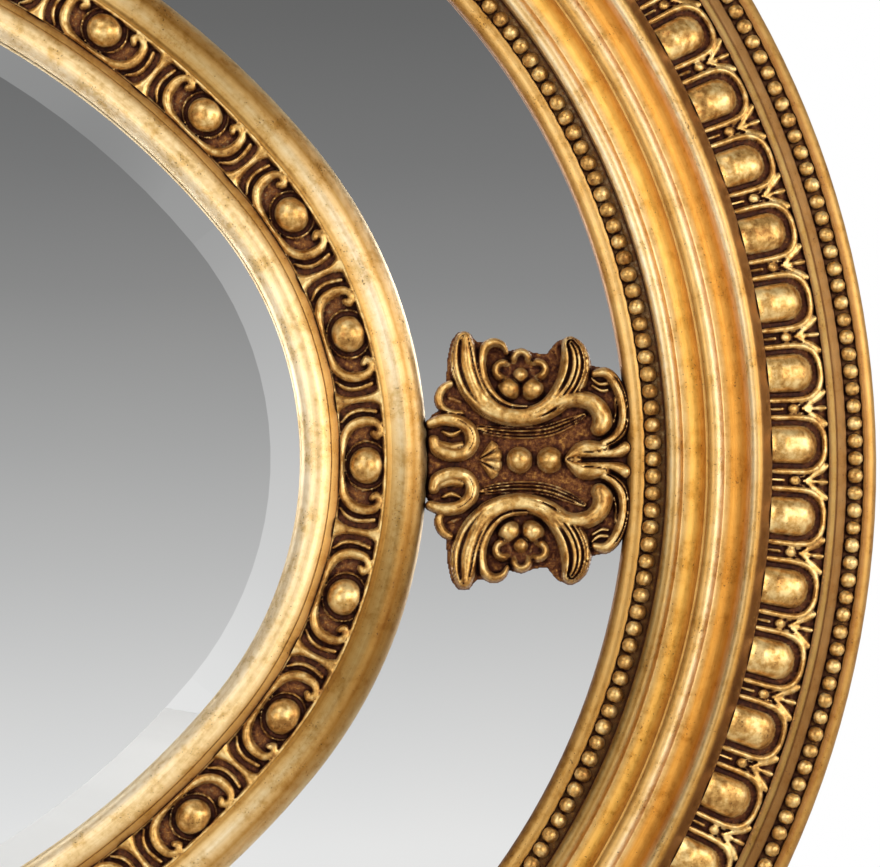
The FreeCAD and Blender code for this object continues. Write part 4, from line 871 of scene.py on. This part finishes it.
def make_carved_courses():
    courses = [
        ("egg", EGG_BAND_START, EGG_BAND_END, (EGG_BAND_TOP, EGG_BAND_FOOT), egg_relief,
         EGG_ROW, EGG_PITCH, EGG_PHASE, 0.62, "egg_course"),
        ("ball", BALL_BAND_START, BALL_BAND_END, (BALL_BAND_LEVEL, BALL_BAND_LEVEL), ball_relief,
         BALL_OFFSET, BALL_PITCH, BALL_PHASE, 0.50, "ball_course"),
    ]
    for title, start, end, floor, relief, middle, pitch, phase, step, node in courses:
        run = 0.0
        for number, arc in enumerate(ARCS, start=1):
            length = carved_band(f"{title}_carving_{number}", arc, run, start, end, floor, relief,
                                 middle, pitch, phase, step)
            run += arc[4] * (arc[2] + middle)
            dress(length, CARVED_GOLD)
            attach(length, "mirror")
            if number == 1:
                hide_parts(node)


# ---------------------------------------------------------------- bead strings

def bead_model(radius):
    """Half a bead with few faces, its dome towards the room."""
    deselect()
    bpy.ops.mesh.primitive_uv_sphere_add(segments=10, ring_count=6, radius=radius * MM)
    bead = new_piece("bead_model")
    start_editing(bead)
    bpy.ops.transform.rotate(value=math.pi / 2, orient_axis="X", center_override=(0, 0, 0))
    bpy.ops.mesh.select_all(action="SELECT")
    bpy.ops.mesh.bisect(plane_co=(0, BEAD_CUT * MM, 0), plane_no=(0, 1, 0), clear_outer=True, use_fill=True)
    finish_editing()
    return bead


def make_bead_strings():
    for name, offset, floor, pitch, radius in (
            ("sight_bead_string", SIGHT_BEADS, SIGHT_BEAD_FLOOR, SIGHT_BEAD_PITCH, 3.5),
            ("edge_bead_string", EDGE_BEADS, EDGE_BEAD_FLOOR, EDGE_BEAD_PITCH, 3.3)):
        model = bead_model(radius)
        beads = []
        for number, (arc, angle) in enumerate(stations(offset, pitch, 0.0)):
            move = Matrix.Translation(on_arc(arc, angle, offset, floor + BEAD_LIFT))
            tilt = Matrix.Rotation(0.22 * math.sin(number * 1.9), 4, "X")
            spin = Matrix.Rotation(-angle + 0.5 * math.sin(number * 2.3), 4, "Y")
            squash = Matrix.Diagonal((1 + 0.04 * math.sin(number * 1.3), 1 + 0.05 * math.sin(number * 0.7),
                                      1 + 0.05 * math.sin(number * 2.9), 1))
            beads.append(copy_to(model, move @ spin @ tilt @ squash, "bead"))
        bpy.data.objects.remove(model)
        string = joined(beads, name.replace("string", "run"))
        above = BACK_PLANE - positions(string)[:, 1] / MM - floor
        # Darker towards each bead's foot: wax, and painted shade where it meets its channel
        write_attribute(string, "wax_and_shade", 0.7 - 0.7 * rises(above, 0.6, 3.4))
        smooth(string, 80)
        dress(string, CARVED_GOLD)
        stand_for(string, name)


# ---------------------------------------------------------------- cartouches

CARTOUCHE_EDGE = [(-0.8, 0.0), (-0.6, 14.6), (2.0, 18.6), (4.5, 20.2), (3.4, 25.3), (4.6, 29.0), (7.6, 31.5),
                  (8.0, 40.7), (9.6, 48.3), (12.5, 52.2), (17.0, 51.8), (20.0, 48.0), (25.0, 48.0),
                  (30.0, 47.6), (33.0, 44.4), (38.0, 45.6), (43.0, 43.6), (48.0, 43.0), (52.0, 48.0),
                  (56.6, 50.0), (61.9, 48.0), (65.0, 43.0), (66.4, 38.4), (72.5, 37.2), (76.5, 32.8),
                  (80.0, 26.1), (81.4, 14.6), (82.2, 7.0), (82.2, 0.0)]


def petal_cup(u, m, centre_x, centre_y, heart_x, heart_y):
    """A hollow petal whose wall stands highest on the side away from the flower's heart."""
    away = np.hypot(u - centre_x, m - centre_y)
    out = np.hypot(centre_x - heart_x, centre_y - heart_y)
    facing = ((u - centre_x) * (centre_x - heart_x) + (m - centre_y) * (centre_y - heart_y)) / out
    wall = 2.4 + 4.2 * rises(facing / np.maximum(away, 0.1), -0.8, 0.3)
    shape = np.maximum(wall * np.sqrt(np.clip(1 - ((away - 3.0) / 1.7) ** 2, 0, 1)), 2.0)
    return np.where(away < 4.7, 1.0 + shape, NOWHERE)


def cartouche_height(u, v):
    """Relief of a cartouche: u outwards from the inner frame, v along the oval, both in mm."""
    m = np.abs(v)
    depth = inside_depth(u, m, CARTOUCHE_EDGE)
    foot = 1.2
    ground = np.where(depth > 0, foot + 1.4 * rises(depth, 0.0, 1.6), CARTOUCHE_BELOW)
    bowl = dome(u, m, 38.0, 35.0, 15.5, 1.0)
    ground = np.where((bowl > 0) & (depth > 0), np.minimum(ground, 1.6), ground)
    parts = [ground]

    def add(points, top, grooves=(), edge=2.4, side=None):
        parts.append(roll(u, m if side is None else v * side, points, top, foot, 6, grooves, edge))

    # the crescent round the flower: three ridges in each horn, one smooth broad band between them
    add([(14.8, 48.6, 3.4), (14.9, 43.0, 5.4), (15.7, 36.4, 6.1), (18.6, 28.8, 5.7), (23.6, 22.2, 4.9),
         (30.4, 18.3, 4.3), (38.5, 17.3, 4.1), (46.0, 19.2, 4.3), (52.2, 23.6, 5.0), (57.2, 30.0, 6.0),
         (59.6, 37.0, 6.4), (59.2, 43.0, 5.4), (57.6, 46.4, 3.6)], 9.8, edge=3.0,
        grooves=[(0.50, 0.08, 1.3, 0.0, 0.30), (-0.34, 0.26, 2.6, 0.0, 0.27), (-0.36, 0.06, 0.8, 0.0, 0.34),
                 (-0.80, 0.07, 1.6, 0.0, 0.42), (0.34, 0.12, 2.8, 0.70, 1.1), (-0.08, 0.06, 1.4, 0.62, 1.1),
                 (-0.40, 0.08, 1.8, 0.57, 1.1), (-0.68, 0.06, 1.1, 0.64, 1.1), (0.08, 0.05, 0.6, 0.54, 0.78)])
    # inner lip, curled over at its left end
    add([(32.2, 43.0, 0.9), (30.4, 46.2, 1.5), (26.6, 47.4, 2.0), (23.2, 45.2, 2.1), (21.9, 40.4, 2.0),
         (22.4, 34.6, 1.9), (24.8, 28.8, 1.7), (29.0, 24.0, 1.4), (34.2, 21.6, 1.1), (40.0, 21.2, 0.8)], 8.6)
    # scroll that leaves the crescent and ends in a bulb
    add([(48.0, 21.0, 2.6), (54.6, 23.8, 3.4), (60.6, 24.6, 3.6), (66.0, 23.2, 3.8), (69.6, 19.4, 4.1),
         (70.6, 15.2, 4.3), (69.4, 12.8, 3.8)], 9.8, edge=2.6, grooves=[(0.75, 0.07, 1.2, 0.0, 0.45)])
    # outer leaf
    add([(67.0, 34.6, 1.6), (71.4, 35.2, 2.4), (75.0, 32.2, 2.6), (77.9, 26.4, 2.6), (79.2, 19.4, 2.6),
         (78.4, 13.0, 2.6), (75.2, 8.8, 2.5), (71.0, 6.4, 2.2)], 7.8, grooves=[(0.35, 0.09, 1.6, 0.25, 1.0)])
    add([(75.6, 25.0, 0.6), (75.9, 20.0, 0.8), (75.0, 15.0, 0.7)], 4.8)
    add([(66.0, 33.0, 0.8), (69.0, 30.6, 1.1), (72.4, 30.8, 1.2)], 5.0)
    add([(66.4, 30.0, 0.8), (69.8, 28.0, 1.0), (72.6, 28.2, 0.9)], 4.6)
    # pointed leaf with its slit, and the flared bud
    add([(55.6, 0.4, 0.7), (58.6, 2.3, 2.2), (62.4, 4.0, 3.8), (66.6, 4.3, 3.9), (71.0, 4.6, 2.8)], 8.4,
        grooves=[(-0.3, 0.07, 0.9, 0.45, 1.1)])
    add([(56.4, 0.0, 0.9), (59.6, 0.0, 1.8), (61.4, 0.0, 1.0)], 7.0)
    add([(66.0, 2.0, 1.4), (71.0, 2.3, 1.9), (76.0, 3.1, 2.6), (79.6, 4.8, 3.2)], 7.6)
    # combed lines below the crescent
    add([(20.0, 12.8, 1.6), (28.0, 11.6, 2.6), (38.0, 11.0, 3.0), (48.0, 11.8, 3.0), (56.0, 14.6, 2.6),
         (63.0, 18.0, 1.2)], 4.4, edge=4.0,
        grooves=[(-0.50, 0.14, 1.2, 0.0, 1.1), (-0.05, 0.16, 1.4, 0.1, 1.1), (0.48, 0.14, 1.2, 0.0, 0.9)])
    # ear leaf
    add([(14.0, 18.8, 1.2), (9.0, 19.4, 1.4), (5.4, 22.0, 1.8), (4.8, 25.6, 1.9), (6.6, 29.0, 1.9),
         (9.6, 30.8, 1.6)], 5.8)
    add([(8.0, 25.4, 0.6), (10.6, 24.4, 1.4), (13.6, 23.4, 1.0)], 3.6)
    # fan husk
    fan = np.hypot(u - 20.6, v) / 10.0
    spread = np.arctan2(np.abs(v), u - 20.4)
    shell = 2.4 + 4.4 * np.sqrt(np.clip(fan, 0, 1)) * np.sqrt(np.clip(1 - fan ** 6, 0, 1)) * np.sqrt(
        np.clip(1 - spread ** 4, 0, 1))
    slits = 1.3 * np.exp(-((spread - 0.5) / 0.08) ** 2) + 1.3 * np.exp(-(spread / 0.08) ** 2)
    parts.append(np.where((fan < 1) & (spread < 1.0), shell - slits, NOWHERE))
    for centre in (37.1, 49.2):
        parts.append(dome(u, v, centre, 0.0, 5.6, 9.8, foot))
    # the flower
    for cx, cy in ((32.9, 28.6), (42.4, 28.6)):
        parts.append(dome(u, m, cx, cy, 5.0, 7.4, 0.6))
    for cx, cy in ((37.8, 40.5), (30.7, 36.1), (44.4, 36.5)):
        parts.append(petal_cup(u, m, cx, cy, 37.6, 34.2))
    parts.append(dome(u, m, 37.6, 34.2, 3.3, 7.8, foot))
    # the two volutes, cut by hand and so not alike
    for cx, cy, side in ((10.6, 9.2, 1), (10.6, 12.8, -1)):
        add([(cx - 9.4, cy + 5.4, 2.0), (cx - 3.6, cy + 7.0, 2.7), (cx + 2.6, cy + 6.0, 2.9),
             (cx + 6.8, cy + 2.4, 3.0), (cx + 7.4, cy - 2.6, 3.0), (cx + 4.4, cy - 6.4, 2.9),
             (cx - 1.4, cy - 7.0, 3.0), (cx - 6.4, cy - 4.8, 3.0), (cx - 8.0, cy - 1.4, 2.4)], 8.6, side=side,
            edge=3.0, grooves=[(0.1, 0.05, 0.7, 0.2, 0.6)])
        add([(cx - 6.0, cy - 2.6, 1.6), (cx - 0.6, cy - 4.4, 2.4), (cx + 3.6, cy - 3.2, 1.6)], 6.6, side=side)
        add([(cx - 4.2, cy + 2.2, 0.8), (cx - 0.8, cy + 0.9, 1.3), (cx + 3.0, cy + 2.6, 0.9)], 5.6, side=side)
    return highest(*parts)


def inside_depth(x, y, outline):
    """Distance inside a shape that is closed by the axis: negative outside."""
    inside = np.zeros(x.shape, bool)
    nearest = np.full(x.shape, 1e3)
    count = len(outline)
    for index in range(count):
        ax, ay = outline[index]
        bx, by = outline[(index + 1) % count]
        crosses = (ay > y) != (by > y)
        with np.errstate(divide="ignore", invalid="ignore"):
            at = ax + (y - ay) * (bx - ax) / (by - ay)
        inside ^= crosses & (x < at)
        if index == count - 1:
            continue
        run_x = bx - ax
        run_y = by - ay
        t = np.clip(((x - ax) * run_x + (y - ay) * run_y) / (run_x ** 2 + run_y ** 2), 0, 1)
        nearest = np.minimum(nearest, np.hypot(x - ax - t * run_x, y - ay - t * run_y))
    return np.where(inside, nearest, -nearest)


def cartouche_model():
    """One cartouche carved from a fine grid, cut off at the glass and closed behind."""
    start = -1.0
    end = 83.0
    half = 53.0
    step = 0.40
    columns = round((end - start) / step)
    rows = round(2 * half / step)
    deselect()
    bpy.ops.mesh.primitive_grid_add(x_subdivisions=columns, y_subdivisions=rows, size=2)
    obj = new_piece("cartouche_model")
    unit = positions(obj)
    order = row_order(unit)
    shape = (rows + 1, columns + 1)
    u = start + (unit[:, 0] + 1) / 2 * (end - start)
    v = unit[:, 1] * half
    height = cartouche_height(u, v)
    steep = steepness(height, order, shape, step)
    carved = rises(height, 2.8, 4.2)
    rough = carved * 0.20 * uneven(u, v, 3.4) + (1 - carved) * 0.45 * uneven(u, v, 1.3)
    height = np.where(height > 0, height + rough, height)
    rim = np.abs(unit[:, :2]).max(axis=1) > 1 - 1e-5
    height = np.where(rim, CARTOUCHE_BELOW, height)
    place_vertices(obj, u * MM, -height * MM, v * MM)
    solid = np.maximum(height, 0)
    hollow = np.maximum(blurred(solid, order, shape, 4) - solid, 0)
    # Dark brown on the low ground and in hollows, wax left there, and on steep sides, painted shade
    wax_and_shade = highest(0.85 - 0.85 * rises(height, 3.0, 4.8), 0.6 * rises(hollow, 0.5, 1.5),
                  0.55 * rises(steep, 0.9, 2.4))
    write_attribute(obj, "wax_and_shade", wax_and_shade)
    start_editing(obj)
    bpy.ops.mesh.bisect(plane_co=(0, -0.1 * MM, 0), plane_no=(0, 1, 0), clear_outer=True, use_fill=True)
    finish_editing()
    return obj


def make_cartouches():
    model = cartouche_model()
    along = HALF_LENGTH + INNER_FRAME
    up = HALF_HEIGHT + INNER_FRAME
    places = {"right": (along, 0, 0), "top": (0, up, 90), "left": (-along, 0, 180), "bottom": (0, -up, 270)}
    for name, (x, z, turn) in places.items():
        move = Matrix.Translation(Vector((x, BACK_PLANE - GLASS_LEVEL, z)) * MM)
        spin = Matrix.Rotation(-math.radians(turn), 4, "Y")
        piece = copy_to(model, move @ spin, f"carved_cartouche_{name}")
        smooth(piece, 70)
        dress(piece, CARVED_GOLD)
        stand_for(piece, f"cartouche_{name}")
    bpy.data.objects.remove(model)


# ---------------------------------------------------------------- nodes that stay as they are

def dress_nodes():
    finishes = [("centre_glass_blocks", BLOCK), ("margin_glass_blocks", BLOCK), ("centre_glass", MIRROR),
                ("margin_glass", MIRROR), ("centre_backing", CARD), ("back_board_screws", SCREW_STEEL),
                ("inner_frame_screws", SCREW_STEEL), ("hanger_screws", SCREW_STEEL),
                ("bumper_screws", SCREW_STEEL), ("back_board", BOARD), ("outer_frame_dowels", DOWEL),
                ("inner_frame_dowels", DOWEL), ("hanger", NICKEL), ("bumper", RUBBER)]
    for name, obj in nodes.items():
        for prefix, material in finishes:
            if name.startswith(prefix):
                dress(obj, material)
                break


# ---------------------------------------------------------------- floor, light and camera

# Grey of the room that the glass shows, as (elevation in degrees, sRGB grey)
ROOM_GREYS = [(-12.0, 246), (-1.7, 240), (0.0, 222), (2.3, 194), (4.0, 173), (6.3, 143), (8.0, 125),
              (10.3, 107), (12.0, 112), (20.0, 150), (45.0, 165)]
# The same to the right of the camera, where the bevel looks
SIDE_GREYS = [(-9.3, 240), (-1.8, 218), (2.5, 208), (7.5, 194), (13.1, 176), (17.8, 158), (20.3, 147),
              (45.0, 165)]


def make_world():
    """White behind the object, and for reflections a room that is darker overhead."""
    world = bpy.data.worlds.new("studio")
    bpy.context.scene.world = world
    world.use_nodes = True
    tree = world.node_tree
    tree.nodes.clear()
    place = add_node(tree, "TexCoord")
    parts = add_node(tree, "SeparateXYZ", inputs={"Vector": (place, "Generated")})
    low = -0.25
    high = 0.75
    climb = add_node(tree, "MapRange", inputs={
        "Value": (parts, "Z"), "From Min": low, "From Max": high})
    rooms = []
    for greys in (ROOM_GREYS, SIDE_GREYS):
        stops = [((math.sin(math.radians(elevation)) - low) / (high - low), "#" + f"{grey:02X}" * 3)
                 for elevation, grey in greys]
        rooms.append(add_node(tree, "ValToRGB", inputs={"Fac": (climb, "Result")}, stops=stops))
    aside = add_node(tree, "MapRange", inputs={
        "Value": (parts, "X"), "From Min": 0.056, "From Max": 0.10})
    room = add_node(tree, "Mix", {"data_type": "RGBA"}, {
        "Factor": (aside, "Result"), "A": (rooms[0], "Color"), "B": (rooms[1], "Color")})
    behind = add_node(tree, "Background", inputs={"Color": (room, "Result")})
    white = add_node(tree, "Background", inputs={"Color": (1, 1, 1, 1)})
    path = add_node(tree, "LightPath")
    mix = add_node(tree, "MixShader", inputs={
        0: (path, "Is Camera Ray"), 1: (behind, "Background"), 2: (white, "Background")})
    add_node(tree, "OutputWorld", inputs={"Surface": (mix, "Shader")})


def make_floor():
    deselect()
    bpy.ops.mesh.primitive_circle_add(vertices=96, radius=2.4, fill_type="NGON",
                                      location=(0, 0, cad_box[0][2] - 0.001))
    floor = new_piece("studio_floor")
    bpy.ops.object.transform_apply(location=True)
    material, tree = new_material("pale_painted_floor")
    place = add_node(tree, "TexCoord")
    mottle = add_node(tree, "TexNoise", inputs={"Vector": (place, "Object"), "Scale": 6.0})
    paint = add_node(tree, "ValToRGB", inputs={"Fac": (mottle, "Fac")},
                     stops=[(0.3, "#E9E8E6"), (0.7, "#EEEDEB")])
    shader = add_node(tree, "BsdfPrincipled", inputs={
        "Base Color": (paint, "Color"), "Roughness": 0.7})
    add_node(tree, "OutputMaterial", inputs={"Surface": (shader, "BSDF")})
    dress(floor, material)


def soft_box(name, place, target, size, watts):
    light = bpy.data.lights.new(name, "AREA")
    light.shape = "RECTANGLE"
    light.size = size[0]
    light.size_y = size[1]
    light.energy = watts
    lamp = bpy.data.objects.new(name, light)
    lamp.location = place
    lamp.rotation_euler = (Vector(target) - Vector(place)).to_track_quat("-Z", "Y").to_euler()
    bpy.context.scene.collection.objects.link(lamp)


def make_lights():
    soft_box("right_softbox", (1.7, -2.2, 0.35), (0.45, 0, 0), (0.9, 1.3), 24.0)
    soft_box("side_softbox", (2.4, -0.6, 0.35), (0.45, 0, 0), (0.9, 0.9), 14.0)
    soft_box("left_softbox", (-1.1, -1.9, -0.05), (0.4, 0, 0), (1.1, 0.6), 12.0)
    soft_box("upper_softbox", (-0.6, -2.0, 1.7), (0.4, 0, 0), (1.2, 0.8), 17.0)
    soft_box("back_softbox", (-1.5, 2.4, 1.6), (0, 0, 0), (1.6, 1.6), 40.0)


FOCAL_PIXELS = 4000.0
IMAGE_WIDTH = 880.0
SENSOR = 36.0


def make_camera():
    """The camera stands 1.6 m away, a little below the oval's middle, and looks slightly up."""
    data = bpy.data.cameras.new("photo_camera")
    data.sensor_width = SENSOR
    data.lens = FOCAL_PIXELS / IMAGE_WIDTH * SENSOR
    data.clip_start = 0.05
    camera = bpy.data.objects.new("photo_camera", data)
    camera.location = (0.4556, -1.604, -0.107)
    camera.rotation_euler = (math.radians(90 + 4.2), 0, 0)
    bpy.context.scene.collection.objects.link(camera)
    bpy.context.scene.camera = camera


bpy.context.scene.view_settings.view_transform = "Standard"
make_frames()
make_carved_courses()
make_bead_strings()
make_cartouches()
dress_nodes()
make_world()
make_floor()
make_lights()
make_camera()

deselect()
